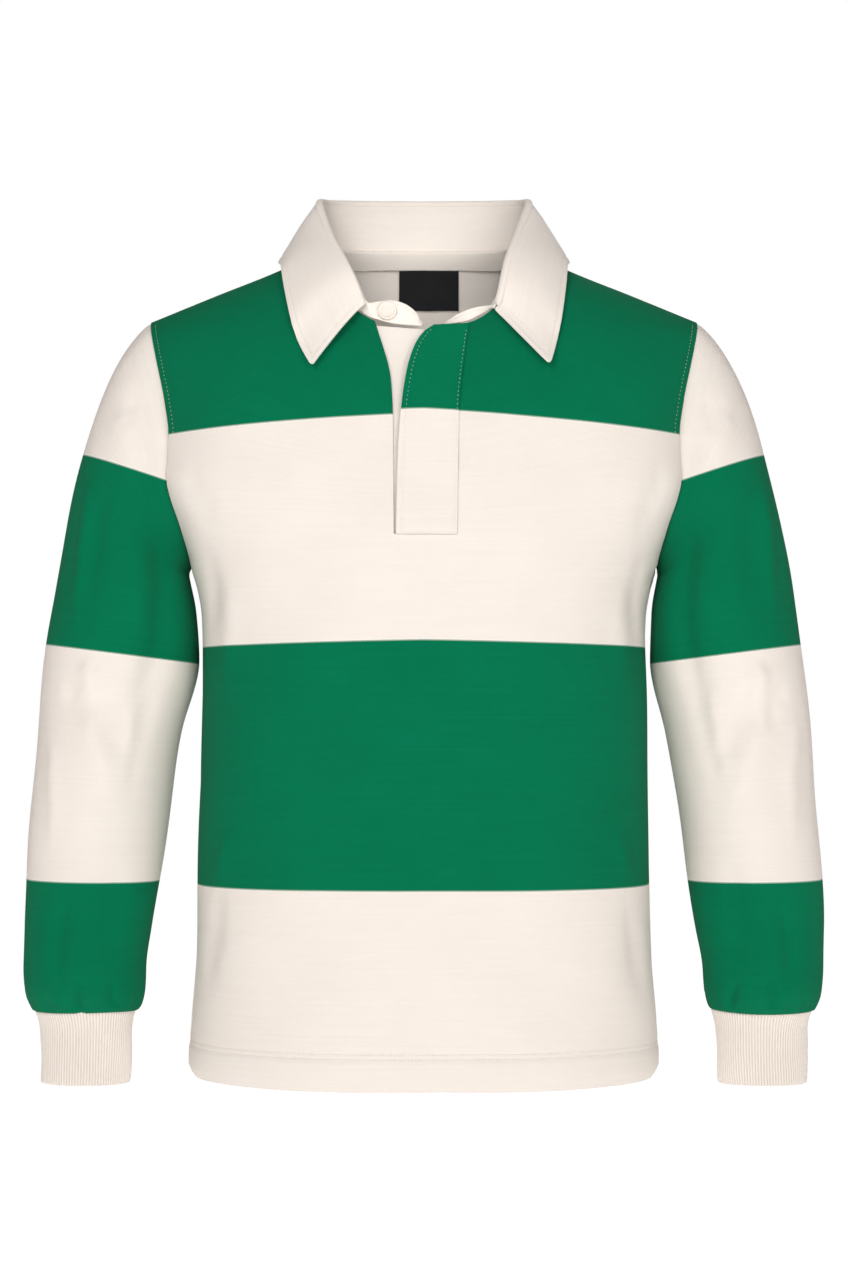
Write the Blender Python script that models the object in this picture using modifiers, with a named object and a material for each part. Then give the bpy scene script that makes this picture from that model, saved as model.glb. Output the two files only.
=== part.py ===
"""Long-sleeved rugby shirt, filled out and hollow, as its maker cuts and sews it.

Metres, +Z up, -Y is the front, +X is the wearer's left. The origin lies midway between the two high
shoulder points, where the collar's neck seam meets the shoulder seams. Every piece of cloth is an open
surface worked out from the tables below and given its thickness by a Solidify modifier. Pieces keep a
small gap at their seams.
"""

import bpy
import numpy as np
from math import cos, pi, radians, sin
from mathutils import Vector

# ---------------------------------------------------------------- driving dimensions
JERSEY = 0.0016            # striped cloth
TWILL = 0.0022             # collar pieces, two layers of twill
RIB = 0.0024               # cuffs, doubled rib
TRIM = 0.0010              # tape, facing and label
SEAM = 0.0005              # half of the space left at a seam between two curved edges
LAY = 0.0006               # space under a piece that lies outside a panel
TUCK = 0.0013              # space over a piece that lies inside a panel

SLIT_FOOT_Z = -0.2545      # foot of the placket opening
ARMPIT_Z = -0.275          # lowest point of the armhole
ROUND_Z = -0.170           # level where the chest stops curving back to the shoulder
FULLNESS = 2.4             # power of the body's rounded sections, 2 is an ellipse

# Half width of the body at its side seams, below the armpit.
SIDE = (  # z, half_width
    (-0.716, 0.1990), (-0.706, 0.2036), (-0.669, 0.2015), (-0.620, 0.1982), (-0.550, 0.1963),
    (-0.470, 0.1948), (-0.400, 0.1935), (-0.347, 0.1928), (-0.320, 0.1935), (-0.300, 0.1965),
    (-0.275, 0.2035))

# Greatest depth of the front and back, on the centre line.
DEPTH = (  # z, front, back
    (-0.716, 0.118, 0.105), (-0.600, 0.118, 0.101), (-0.500, 0.120, 0.097), (-0.350, 0.125, 0.095),
    (-0.250, 0.124, 0.101), (-0.170, 0.1185, 0.105), (-0.100, 0.118, 0.105), (0.060, 0.118, 0.105))

# Armhole seam, from the shoulder point down to the armpit.
ARMHOLE = (  # z, x, front_y, back_y
    (-0.0610, 0.2390, 0.000, 0.000), (-0.0635, 0.2385, 0.012, 0.013), (-0.0700, 0.2372, 0.024, 0.025),
    (-0.0850, 0.2338, 0.037, 0.039), (-0.1050, 0.2290, 0.047, 0.050), (-0.1350, 0.2222, 0.056, 0.060),
    (-0.1660, 0.2180, 0.061, 0.065), (-0.1900, 0.2185, 0.063, 0.066), (-0.2040, 0.2195, 0.062, 0.064),
    (-0.2200, 0.2165, 0.058, 0.059), (-0.2390, 0.2105, 0.049, 0.049), (-0.2550, 0.2065, 0.037, 0.037),
    (-0.2680, 0.2040, 0.022, 0.022), (-0.2750, 0.2035, 0.000, 0.000))

# Ridge of the shoulders; inside the neck it is where the cloth would meet if it had no neck hole.
RIDGE = (  # x, front_z, back_z
    (0.000, 0.020, 0.046), (0.040, 0.016, 0.036), (0.070, 0.009, 0.018), (0.088, 0.003, 0.003),
    (0.124, -0.015, -0.015), (0.180, -0.0375, -0.0375), (0.239, -0.061, -0.061), (0.270, -0.073, -0.073))

# Neck seam, from the centre front round to the high shoulder point.
NECK_FRONT = (  # x, z
    (0.0000, -0.0800), (0.0160, -0.0790), (0.0280, -0.0775), (0.0410, -0.0745), (0.0520, -0.0680),
    (0.0600, -0.0600), (0.0700, -0.0400), (0.0775, -0.0200), (0.0835, -0.0040), (0.0880, 0.0030))
NECK_BACK = (  # x, z
    (0.0880, 0.0030), (0.0800, 0.0036), (0.0600, 0.0050), (0.0300, 0.0065), (0.0000, 0.0070))

# Edges of the placket opening.
SLIT_RIGHT = (  # z, x: cut edge of the wearer's right front
    (-0.2545, -0.0250), (-0.2000, -0.0255), (-0.1530, -0.0260), (-0.1260, -0.0275), (-0.0745, -0.0410))
LAP_EDGE = (  # z, x: free edge of the top placket
    (-0.2545, -0.0230), (-0.1850, -0.0215), (-0.1500, -0.0190), (-0.1210, -0.0147), (-0.0985, -0.0080),
    (-0.0860, 0.0000), (-0.0790, 0.0100))
LAP_STITCH = (  # z, x: sewn edge of the top placket
    (-0.2545, 0.0273), (-0.1520, 0.0290), (-0.0920, 0.0355), (-0.0760, 0.0380))
UNDER_EDGE = (  # z, x: free edge of the under placket
    (-0.2545, 0.0060), (-0.1500, 0.0050), (-0.1100, 0.0045), (-0.0800, 0.0000))
LAP_BACKING = 0.004        # the front's own edge lies this far inside the top placket's
UNDER_TURNING = 0.008      # the under placket runs this far behind the right front
UNDER_TUCK = 0.0009        # space between them

# Sleeve sections below the cap: outer and inner edge in the front view, and half depth.
SLEEVE = (  # outer_x, outer_z, inner_x, inner_z, half_depth, mid_y
    (0.3120, -0.2400, 0.2050, -0.2840, 0.0600, 0.000),
    (0.3222, -0.2930, 0.1990, -0.3160, 0.0600, 0.000),
    (0.3293, -0.3400, 0.1972, -0.3560, 0.0580, -0.001),
    (0.3362, -0.4095, 0.2115, -0.4200, 0.0550, -0.002),
    (0.3410, -0.4700, 0.2200, -0.4760, 0.0520, -0.003),
    (0.3453, -0.5350, 0.2287, -0.5370, 0.0475, -0.005),
    (0.3478, -0.5900, 0.2365, -0.5900, 0.0455, -0.006),
    (0.3476, -0.6250, 0.2415, -0.6250, 0.0440, -0.007),
    (0.3459, -0.6460, 0.2424, -0.6460, 0.0425, -0.008),
    (0.3425, -0.6600, 0.2450, -0.6600, 0.0380, -0.008),
    (0.3385, -0.6662, 0.2490, -0.6662, 0.0320, -0.008))

# Direction in which the sleeve leaves the armhole seam, round from the shoulder to the underarm.
SLEEVE_START = (  # angle, out_x, forward_y, up_z
    (0, 0.766, 0.00, -0.643), (45, 0.80, 0.15, -0.58), (90, 0.80, 0.28, -0.53),
    (135, 0.45, 0.25, -0.85), (180, 0.05, 0.00, -1.00))
START_PULL = 0.83          # how far each end's direction is held, as a share of the cap's span
END_PULL = 1.03

CUFF = (  # z, outer_x, inner_x, half_depth
    (-0.6666, 0.3380, 0.2495, 0.0290), (-0.6790, 0.3330, 0.2530, 0.0240),
    (-0.7000, 0.3325, 0.2540, 0.0230), (-0.7236, 0.3330, 0.2550, 0.0230))
CUFF_MID_Y = -0.008

# Fold line of the collar, from its front end to the side; the back is the same on both sides.
FOLD_RIGHT = (  # x, y, z
    (-0.0477, -0.0970, -0.0566), (-0.0590, -0.0800, -0.0290), (-0.0710, -0.0500, -0.0032),
    (-0.0830, -0.0190, 0.0270), (-0.0885, 0.0050, 0.0455))
FOLD_LEFT = (  # x, y, z
    (0.0600, -0.0995, -0.0580), (0.0614, -0.0917, -0.0430), (0.0676, -0.0668, -0.0140),
    (0.0825, -0.0225, 0.0270), (0.0890, 0.0050, 0.0455))
FOLD_BACK = (  # x, y, z
    (0.0800, 0.0360, 0.0500), (0.0500, 0.0580, 0.0530), (0.0000, 0.0650, 0.0540))

# Lower edge of the collar leaves, from the point round to the centre back.
LEAF_RIGHT = (  # x, y, z
    (-0.0940, -0.1170, -0.1140), (-0.1050, -0.1020, -0.0930), (-0.1120, -0.0950, -0.0720),
    (-0.1187, -0.0720, -0.0430), (-0.1235, -0.0450, -0.0180), (-0.1260, -0.0050, -0.0090))
LEAF_LEFT = (  # x, y, z
    (0.1055, -0.1170, -0.1120), (0.1110, -0.1020, -0.0930), (0.1160, -0.0930, -0.0700),
    (0.1205, -0.0720, -0.0430), (0.1240, -0.0450, -0.0180), (0.1260, -0.0050, -0.0090))
LEAF_BACK = (  # x, y, z
    (0.1020, 0.0480, -0.0060), (0.0600, 0.0720, -0.0080), (0.0000, 0.0790, -0.0090))

# Where the fold's length meets the neck seam's, so that the stand's height runs straight across it.
FOOT_SHARE = (  # share of the fold, share of the seam
    (0.00, 0.00), (0.11, 0.13), (0.22, 0.27), (0.33, 0.40), (0.44, 0.50), (0.55, 0.57), (0.66, 0.67),
    (1.00, 1.00))

# Front ends of the stand: foot on the neck seam and top edge.
STAND_BUTTON_END = (  # foot_x, top_x, top_y, top_z
    (-0.0010, -0.0008, -0.1035, -0.0768), (-0.0050, -0.0040, -0.1005, -0.0705),
    (-0.0130, -0.0110, -0.0975, -0.0630), (-0.0220, -0.0220, -0.0955, -0.0575),
    (-0.0320, -0.0340, -0.0958, -0.0568))
STAND_OPEN_END = (  # foot_x, top_x, top_y, top_z
    (0.0170, 0.0185, -0.1015, -0.0745), (0.0280, 0.0290, -0.0985, -0.0685),
    (0.0420, 0.0440, -0.0975, -0.0620))
STAND_FOOT_RIGHT_X = 0.0410   # neck seam under the right leaf's front end
STAND_FOOT_LEFT_X = 0.0560    # and under the left one's

ROLL_WIDTH = 0.0072        # across the collar's rolled fold
ROLL_DROP = 0.0060         # the fall starts this far down inside the fold
COLLAR_SPACE = 0.0068      # outer face of the fall from the inner face of the stand
LEAF_SPACE = 0.0050        # outer face of the leaves from the body
LEAF_SWELL = 0.0080        # how far the leaves swell between the fold and their edge

TAPE_DROP = 0.0110         # neck tape, from the neck seam down
FACING_HALF_WIDTH = 0.066
FACING_DROP = 0.078
LABEL_X = (-0.0230, 0.0320)
LABEL_Z = (-0.0062, -0.0390)

BUTTON_RADIUS = 0.0072
BUTTON_THICK = 0.0032
BUTTON_X = -0.0305
BUTTON_HEIGHT = 0.48       # share of the stand's height

# Facets: enough to follow the cloth, few enough to stay light.
NECK_STEPS = 7             # columns across each half of the neck
SHOULDER_STEPS = 5         # columns along each shoulder
LEVELS = (-0.716, -0.711, -0.6905, -0.6885, -0.630, -0.540, -0.440, -0.360, -0.320, -0.295,
          ARMPIT_Z, SLIT_FOOT_Z)
FAN_ROWS = 8               # rows from the slit's foot up to the neck and shoulders
SLEEVE_SIDES = 22
CAP_RINGS = 6

GREEN = (0.003, 0.190, 0.080)
CREAM = (0.830, 0.760, 0.700)
DARK = (0.012, 0.012, 0.013)


# ---------------------------------------------------------------- curves and surfaces
def column(table, index):
    """One column of a table, as an array."""
    return np.array([row[index] for row in table], float)


def smooth(xs, ys, x):
    """Monotone cubic through (xs, ys), with xs in either order; flat beyond its ends."""
    xs, ys = np.asarray(xs, float), np.asarray(ys, float)
    if xs[0] > xs[-1]:
        xs, ys = xs[::-1], ys[::-1]
    x = float(np.clip(x, xs[0], xs[-1]))
    step = np.diff(xs)
    slope = np.diff(ys) / step
    tangent = np.empty_like(ys)
    tangent[0], tangent[-1] = slope[0], slope[-1]
    for i in range(1, len(ys) - 1):
        if slope[i - 1] * slope[i] <= 0:
            tangent[i] = 0.0
        else:
            before, after = 2 * step[i] + step[i - 1], step[i] + 2 * step[i - 1]
            tangent[i] = (before + after) / (before / slope[i - 1] + after / slope[i])
    i = int(np.clip(np.searchsorted(xs, x) - 1, 0, len(step) - 1))
    t = (x - xs[i]) / step[i]
    return ((2 * t ** 3 - 3 * t ** 2 + 1) * ys[i] + (t ** 3 - 2 * t ** 2 + t) * step[i] * tangent[i]
            + (3 * t ** 2 - 2 * t ** 3) * ys[i + 1] + (t ** 3 - t ** 2) * step[i] * tangent[i + 1])


def along(points, share):
    """Point at a share of the length of a smooth curve through the points."""
    points = np.asarray(points, float)
    ext = np.vstack([2 * points[0] - points[1], points, 2 * points[-1] - points[-2]])
    fine = []
    for i in range(1, len(ext) - 2):
        for t in np.linspace(0, 1, 9)[:-1]:
            a, b, c, d = ext[i - 1], ext[i], ext[i + 1], ext[i + 2]
            fine.append(0.5 * (2 * b + (c - a) * t + (2 * a - 5 * b + 4 * c - d) * t ** 2
                               + (3 * b - a - 3 * c + d) * t ** 3))
    fine.append(points[-1])
    fine = np.array(fine)
    run = np.concatenate([[0], np.cumsum(np.linalg.norm(np.diff(fine, axis=0), axis=1))])
    return np.array([np.interp(share * run[-1], run, fine[:, k]) for k in range(fine.shape[1])])


def unit(vector):
    """Vector of length one."""
    return vector / np.linalg.norm(vector)


def ridge_z(side, x):
    """Height of the shoulder ridge at x; side is -1 for the front and +1 for the back."""
    return smooth(column(RIDGE, 0), column(RIDGE, 1 if side < 0 else 2), abs(x))


def depth_at(side, z):
    """Depth of the front or back on the centre line."""
    return smooth(column(DEPTH, 0), column(DEPTH, 1 if side < 0 else 2), z)


def rise(side, x, z):
    """Share of the full depth left where the cloth curves back to the shoulder ridge."""
    share = (z - ROUND_Z) / (ridge_z(side, x) - ROUND_Z)
    return (1 - min(max(share, 0), 1) ** 2) ** 0.5


def section_widths(side):
    """Half widths of the full body sections, carried on up past the armholes."""
    rows = list(SIDE)
    for z, x, front_y, back_y in reversed(ARMHOLE[1:-1]):
        y = front_y if side < 0 else back_y
        share = y / (depth_at(side, z) * rise(side, x, z))
        rows.append((z, x / (1 - share ** FULLNESS) ** (1 / FULLNESS)))
    rows.append((ARMHOLE[0][0], rows[-1][1]))
    return rows


WIDTHS = {-1: section_widths(-1), 1: section_widths(1)}


def body_surface(side, x, z):
    """Point of the front or back surface."""
    width = smooth(column(WIDTHS[side], 0), column(WIDTHS[side], 1), z)
    across = max(0.0, 1 - (abs(x) / width) ** FULLNESS) ** (1 / FULLNESS)
    return np.array([x, side * depth_at(side, z) * across * rise(side, x, z), z])


def body_normal(side, x, z, step=0.0015):
    """Outward normal of the front or back surface."""
    up = body_surface(side, x, z + step) - body_surface(side, x, z - step)
    across = body_surface(side, x + step, z) - body_surface(side, x - step, z)
    normal = unit(np.cross(up, across))
    return normal if normal[1] * side > 0 else -normal


def body_point(side, x, z, out=0.0):
    """Point of the front or back surface, moved out along the cloth's normal."""
    point = body_surface(side, x, z)
    return point + out * body_normal(side, x, z) if out else point


def side_x(z):
    """Edge of the body in the front view: side seam, then armhole."""
    if z < ARMPIT_Z:
        return smooth(column(SIDE, 0), column(SIDE, 1), z)
    return smooth(column(ARMHOLE, 0), column(ARMHOLE, 1), z)


# ---------------------------------------------------------------- mesh helpers
def material(name, colour, roughness=0.9):
    """A plain finish for one piece."""
    mat = bpy.data.materials.new(name)
    mat.use_nodes = True
    shader = mat.node_tree.nodes["Principled BSDF"]
    shader.inputs["Base Color"].default_value = (*colour, 1)
    shader.inputs["Roughness"].default_value = roughness
    shader.inputs["Metallic"].default_value = 0.0
    return mat


def cloth(name, rows, thickness, colour, closed=False, gaps=(), doubled=0, flip=False):
    """Open surface of quads over rows of points, made a wall by Solidify.

    closed joins the last column to the first. gaps holds the (row, column) cells left open. The lowest
    `doubled` rows are twice as thick. flip turns the surface's outer side round.
    """
    count = len(rows[0])
    verts = [tuple(point) for row in rows for point in row]
    faces = []
    for r in range(len(rows) - 1):
        for c in range(count if closed else count - 1):
            if (r, c) in gaps:
                continue
            a, b = r * count + c, r * count + (c + 1) % count
            quad = (a, b, b + count, a + count)
            faces.append(quad[::-1] if flip else quad)
    mesh = bpy.data.meshes.new(name)
    mesh.from_pydata(verts, [], faces)
    obj = bpy.data.objects.new(name, mesh)
    shirt.objects.link(obj)
    mesh.materials.append(material(name, colour))
    wall = obj.modifiers.new("wall", "SOLIDIFY")
    wall.offset = -1.0
    wall.use_quality_normals = True
    wall.thickness = thickness
    if doubled:
        group = obj.vertex_groups.new(name="hem")
        group.add(list(range(count * len(rows))), 0.5, "REPLACE")
        group.add(list(range(count * doubled)), 1.0, "REPLACE")
        wall.thickness = 2 * thickness
        wall.vertex_group = group.name
    mesh.shade_smooth()
    return obj


def strip_on_panel(name, side, left, right, shares, steps, out, thickness, colour, flip=False):
    """Strip laid on a body panel between two edges, each a function from a share to (x, z)."""
    rows = []
    for share in shares:
        a, b = np.array(left(share)), np.array(right(share))
        rows.append([body_point(side, *(a + (b - a) * k / steps), out=out) for k in range(steps + 1)])
    return cloth(name, rows, thickness, colour, flip=flip)


# ---------------------------------------------------------------- body panels
def half_columns(side, slit_x, top_curve):
    """Columns of one half panel, from the slit or centre out to its edge, for all rows.

    slit_x gives the inner edge's x at a height, and top_curve the (x, z) of its upper edge at a column.
    """
    count = NECK_STEPS + SHOULDER_STEPS
    shares = [sin(c / count * pi / 2) for c in range(count + 1)]
    tops = [top_curve(c) for c in range(count + 1)]
    rows = []
    for z in LEVELS:
        inner, outer = slit_x(z), side_x(z)
        rows.append([(inner + (outer - inner) * share, z) for share in shares])
    base = LEVELS[-1]
    top_span = tops[-1][0] - tops[0][0]
    for r in range(1, FAN_ROWS + 1):
        lift = sin(r / FAN_ROWS * pi / 2)
        zs = [base + (top[1] - base) * lift for top in tops]
        inner, outer = slit_x(zs[0]), side_x(zs[-1])
        blend = lift ** 1.5
        row = []
        for c, top in enumerate(tops):
            share = shares[c] * (1 - blend) + (top[0] - tops[0][0]) / top_span * blend
            row.append((inner + (outer - inner) * share, zs[c]))
        rows.append(row)
    rows[-1] = tops
    return rows


def panel_top(neck, start_x):
    """Upper edge of a half panel by column: the neck seam, then the shoulder seam."""
    xs, zs = column(neck, 0), column(neck, 1)
    if xs[0] > xs[-1]:
        xs, zs = xs[::-1], zs[::-1]
    curve = [(start_x, smooth(xs, zs, start_x))] + [(x, z) for x, z in zip(xs, zs) if x > start_x + 0.004]

    def top(c):
        if c <= NECK_STEPS:
            return tuple(along(curve, c / NECK_STEPS))
        x = xs[-1] + (ARMHOLE[0][1] - xs[-1]) * (c - NECK_STEPS) / SHOULDER_STEPS
        return (x, ridge_z(-1, x))
    return top


def seated(side, x, z):
    """Surface point of a panel, kept clear of the other panel at the side and shoulder seams."""
    point = body_point(side, x, z)
    point[1] = side * max(side * point[1], SEAM)
    return point


def build_front():
    """Front panel with the placket's slit."""
    def lap_slit(z):
        return smooth(column(LAP_EDGE, 0), column(LAP_EDGE, 1), z) + LAP_BACKING

    def right_slit(z):
        return -smooth(column(SLIT_RIGHT, 0), column(SLIT_RIGHT, 1), z)

    left = half_columns(-1, lap_slit, panel_top(NECK_FRONT, lap_slit(NECK_FRONT[0][1])))
    right = half_columns(-1, right_slit, panel_top(NECK_FRONT, right_slit(NECK_FRONT[3][1])))
    rows = [[seated(-1, -x, z) for x, z in reversed(r)] + [seated(-1, x, z) for x, z in l]
            for r, l in zip(right, left)]
    middle = len(right[0]) - 1
    slit = {(r, middle) for r in range(len(LEVELS) - 1, len(rows))}
    return cloth("front", rows, JERSEY, GREEN, gaps=slit, doubled=3)


def build_back():
    """Back panel."""
    half = half_columns(1, lambda z: 0.0, panel_top(NECK_BACK, 0.0))
    rows = [[seated(1, -x, z) for x, z in reversed(row)] + [seated(1, x, z) for x, z in row[1:]]
            for row in half]
    return cloth("back", rows, JERSEY, GREEN, doubled=3, flip=True)


# ---------------------------------------------------------------- sleeves and cuffs
def oval(centre, across, half_depth, angle):
    """Point of an oval section: 0 degrees is its outer edge, 90 the front."""
    return centre + across * cos(angle) + np.array([0, -half_depth * sin(angle), 0])


def armhole_ring(angles):
    """Armhole seam at each angle, from the shoulder point forward, under the arm and back up."""
    front = [(x, -y, z) for z, x, y, _ in ARMHOLE]
    back = [(x, y, z) for z, x, _, y in ARMHOLE]
    ring = []
    for angle in angles:
        turn = angle / pi
        ring.append(along(front, turn) if turn <= 1 else along(back, 2 - turn))
    return ring


def sleeve_rings():
    """Rings of the wearer's left sleeve, from the armhole to the cuff."""
    angles = [2 * pi * k / SLEEVE_SIDES for k in range(SLEEVE_SIDES)]
    sections = []
    for outer_x, outer_z, inner_x, inner_z, half_depth, mid_y in SLEEVE:
        outer, inner = np.array([outer_x, mid_y, outer_z]), np.array([inner_x, mid_y, inner_z])
        sections.append([oval((outer + inner) / 2, (outer - inner) / 2, half_depth, a) for a in angles])
    start = [p + np.array([2 * SEAM, 0, 0]) for p in armhole_ring(angles)]
    rings = [start]
    for k in range(1, CAP_RINGS):
        t = k / CAP_RINGS
        ring = []
        for a, p, q, after in zip(angles, start, sections[0], sections[1]):
            degrees = min(a, 2 * pi - a) * 180 / pi
            leave = np.array([smooth(column(SLEEVE_START, 0), column(SLEEVE_START, i), degrees)
                              for i in (1, 2, 3)])
            leave[1] *= -1 if a < pi else 1
            leave /= np.linalg.norm(leave)
            arrive = (after - q) / np.linalg.norm(after - q)
            span = np.linalg.norm(q - p)
            ring.append((2 * t ** 3 - 3 * t ** 2 + 1) * p + (3 * t ** 2 - 2 * t ** 3) * q
                        + (t ** 3 - 2 * t ** 2 + t) * span * START_PULL * leave
                        + (t ** 3 - t ** 2) * span * END_PULL * arrive)
        rings.append(ring)
    return rings + sections


def build_sleeve(name, hand):
    """One sleeve; hand is +1 for the wearer's left and -1 for the right."""
    rings = [[(hand * p[0], p[1], p[2]) for p in ring] for ring in sleeve_rings()]
    return cloth(name, rings, JERSEY, GREEN, closed=True, flip=hand < 0)


def build_cuff(name, hand):
    """One rib cuff."""
    rings = []
    for z, outer_x, inner_x, half_depth in CUFF:
        centre = np.array([(outer_x + inner_x) / 2, CUFF_MID_Y, z])
        across = np.array([(outer_x - inner_x) / 2, 0, 0])
        ring = [oval(centre, across, half_depth, 2 * pi * k / SLEEVE_SIDES) for k in range(SLEEVE_SIDES)]
        rings.append([(hand * p[0], p[1], p[2]) for p in ring])
    return cloth(name, rings, RIB, CREAM, closed=True, flip=hand < 0)


# ---------------------------------------------------------------- collar
def neck_seam(share, foot_x, hand):
    """Neck seam point from under a leaf's front end (share 0) to the centre back (share 1)."""
    front = [body_point(-1, foot_x, smooth(column(NECK_FRONT, 0), column(NECK_FRONT, 1), foot_x))]
    front += [body_point(-1, x, z) for x, z in NECK_FRONT if x > foot_x + 0.004]
    back = [body_point(1, x, z) for x, z in NECK_BACK[1:]]
    point = along(front + back, share)
    return np.array([hand * point[0], point[1], point[2]])


def collar_frames(steps=9):
    """Neck seam, fold and leaf edge at even shares, from the right front end to the left one."""
    frames = []
    for hand, fold, leaf, foot_x in ((-1, FOLD_RIGHT, LEAF_RIGHT, STAND_FOOT_RIGHT_X),
                                     (1, FOLD_LEFT, LEAF_LEFT, STAND_FOOT_LEFT_X)):
        fold_curve = list(fold) + [(hand * x, y, z) for x, y, z in FOLD_BACK]
        leaf_curve = list(leaf) + [(hand * x, y, z) for x, y, z in LEAF_BACK]
        half = [(neck_seam(smooth(column(FOOT_SHARE, 0), column(FOOT_SHARE, 1), k / steps), foot_x, hand),
                 along(fold_curve, k / steps), along(leaf_curve, k / steps)) for k in range(steps + 1)]
        frames += half if hand < 0 else half[-2::-1]
    last = len(frames) - 1
    normals = []
    for k, (foot, fold, _) in enumerate(frames):
        before, after = frames[max(k - 1, 0)], frames[min(k + 1, last)]
        out, down = -inward(foot), unit(foot - fold)
        normal = unit(out - down * np.dot(out, down))
        if 0 < k < last:
            normal = unit(np.cross(after[0] + after[1] - before[0] - before[1], down))
        normals.append(normal if np.dot(normal, out) > 0 else -normal)
    return [(*frame, normal) for frame, normal in zip(frames, normals)]


def inward(foot):
    """Level direction from a neck seam point to the middle of the neck."""
    return unit(np.array([-foot[0], -0.012 - foot[1], 0]))


def stand_columns():
    """Foot and top of the stand's inner face, from its button end round to its open end."""
    def end_columns(table):
        pairs = []
        for foot_x, top_x, top_y, top_z in table:
            foot = body_point(-1, foot_x, seam_z(foot_x))
            foot = foot + inward(foot) * TWILL + np.array([0, 0, 2 * SEAM])
            pairs.append((foot, np.array([top_x, top_y, top_z])))
        return pairs

    frames = collar_frames()
    middle = []
    for k, (foot, fold, _, out) in enumerate(frames):
        seam_run = unit(frames[min(k + 1, len(frames) - 1)][0] - frames[max(k - 1, 0)][0])
        up = fold - foot
        up = unit(up - seam_run * np.dot(up, seam_run))
        below = 5 * SEAM if k in (0, len(frames) - 1) else 3 * SEAM
        top = fold + unit(foot - fold) * (ROLL_DROP + below)
        lift = 4.4 * SEAM if foot[1] < 0 else 2 * SEAM
        middle.append((foot + up * lift - out * TWILL, top))
    return end_columns(STAND_BUTTON_END) + middle + end_columns(STAND_OPEN_END)[::-1]


def build_stand():
    """Collar stand: its face is the side against the neck, and its thickness goes outwards."""
    rows = [[foot + (top - foot) * share for foot, top in stand_columns()]
            for share in (0.0, 0.33, 0.67, 1.0)]
    return cloth("collar_stand", rows, TWILL, CREAM)


def seam_z(x):
    """Height of the front neck seam at x."""
    return smooth(column(NECK_FRONT, 0), column(NECK_FRONT, 1), abs(x))


def off_stand(point, foot, fold, normal):
    """Point moved out where it would touch the stand between its foot and its fold."""
    down = foot - fold
    share = float(np.dot(point - fold, down) / np.dot(down, down))
    away = float(np.dot(point - foot, normal))
    need = COLLAR_SPACE if share < 1.1 else 0.0
    return point + normal * max(0.0, need - away)


def off_body(point):
    """Point moved out where it would touch the front or the back."""
    side = -1 if point[1] < 0 else 1
    for _ in range(3):
        top = ridge_z(side, point[0])
        if point[2] < top + LEAF_SPACE:
            z = min(point[2], top - 0.002)
            normal = body_normal(side, point[0], z)
            away = float(np.dot(point - body_surface(side, point[0], z), normal))
            point = point + normal * max(0.0, LEAF_SPACE - away)
    return point


def build_fall():
    """Collar fall: rolls over the stand and lies down on the shoulders in two points."""
    rows = [[] for _ in range(8)]
    for foot, fold, edge, out in collar_frames():
        down = unit(foot - fold)
        outer = fold + out * ROLL_WIDTH + down * 0.0035
        path = [fold + down * (ROLL_DROP - 3 * SEAM), fold + down * 0.0022, fold + out * ROLL_WIDTH / 2, outer]
        bend = (outer + edge) / 2 + out * LEAF_SWELL
        for t in (0.3, 0.55, 0.8, 1.0):
            point = (1 - t) ** 2 * outer + 2 * t * (1 - t) * bend + t * t * edge
            path.append(off_body(off_stand(point, foot, fold, out)))
        for row, point in zip(rows, path):
            row.append(point)
    return cloth("collar_fall", rows, TWILL, CREAM)


# ---------------------------------------------------------------- placket, trims, button
def edge_between(table, low, high, x_shift=0.0):
    """Edge of a strip as a function of its share, between two heights."""
    def at(share):
        z = low + (high - low) * share
        return smooth(column(table, 0), column(table, 1), z) + x_shift, z
    return at


def build_plackets():
    """Top placket outside the front, under placket behind its slit."""
    shares = (0.0, 0.2, 0.4, 0.55, 0.68, 0.80, 0.88, 0.95, 1.0)
    strip_on_panel("placket_top", -1, edge_between(LAP_EDGE, SLIT_FOOT_Z, -0.0800),
                   edge_between(LAP_STITCH, SLIT_FOOT_Z, -0.0772), shares, 4, LAY + JERSEY, JERSEY, GREEN)
    strip_on_panel("placket_under", -1,
                   edge_between(SLIT_RIGHT, SLIT_FOOT_Z, -0.0765, -UNDER_TURNING),
                   edge_between(UNDER_EDGE, SLIT_FOOT_Z, -0.0805), shares, 3,
                   -JERSEY - UNDER_TUCK, JERSEY, CREAM)


def build_neck_trims():
    """Facing, tape and label inside the back neck."""
    def neck_back_z(x):
        return smooth(column(NECK_BACK, 0), column(NECK_BACK, 1), abs(x))

    facing_in = -JERSEY - TUCK
    tape_in = facing_in - TRIM - TUCK
    spread = [sin((k / 10 - 0.5) * pi) for k in range(11)]
    facing, tape = [], []
    for r in range(7):
        row = []
        for share in spread:
            x = share * FACING_HALF_WIDTH
            top = neck_back_z(x) - 0.0018
            low = top - 0.012 - (FACING_DROP - 0.012) * (1 - share ** 2) ** 0.5
            row.append(body_point(1, x, low + (top - low) * r / 6, out=facing_in))
        facing.append(row)
    cloth("back_facing", facing, TRIM, CREAM, flip=True)
    for r in range(3):
        row = []
        for k in range(11):
            x = (k / 5 - 1) * (FACING_HALF_WIDTH - 0.002)
            top = neck_back_z(x) - 0.0010
            row.append(body_point(1, x, top - TAPE_DROP * (1 - r / 2), out=tape_in))
        tape.append(row)
    cloth("neck_tape", tape, TRIM, CREAM, flip=True)
    label = []
    for r in range(4):
        z = LABEL_Z[1] + (LABEL_Z[0] - LABEL_Z[1]) * r / 3
        xs = [LABEL_X[0] + (LABEL_X[1] - LABEL_X[0]) * k / 4 for k in range(5)]
        label.append([body_point(1, x, z, out=tape_in) for x in xs])
    cloth("neck_label", label, TRIM, DARK, flip=True)


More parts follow.
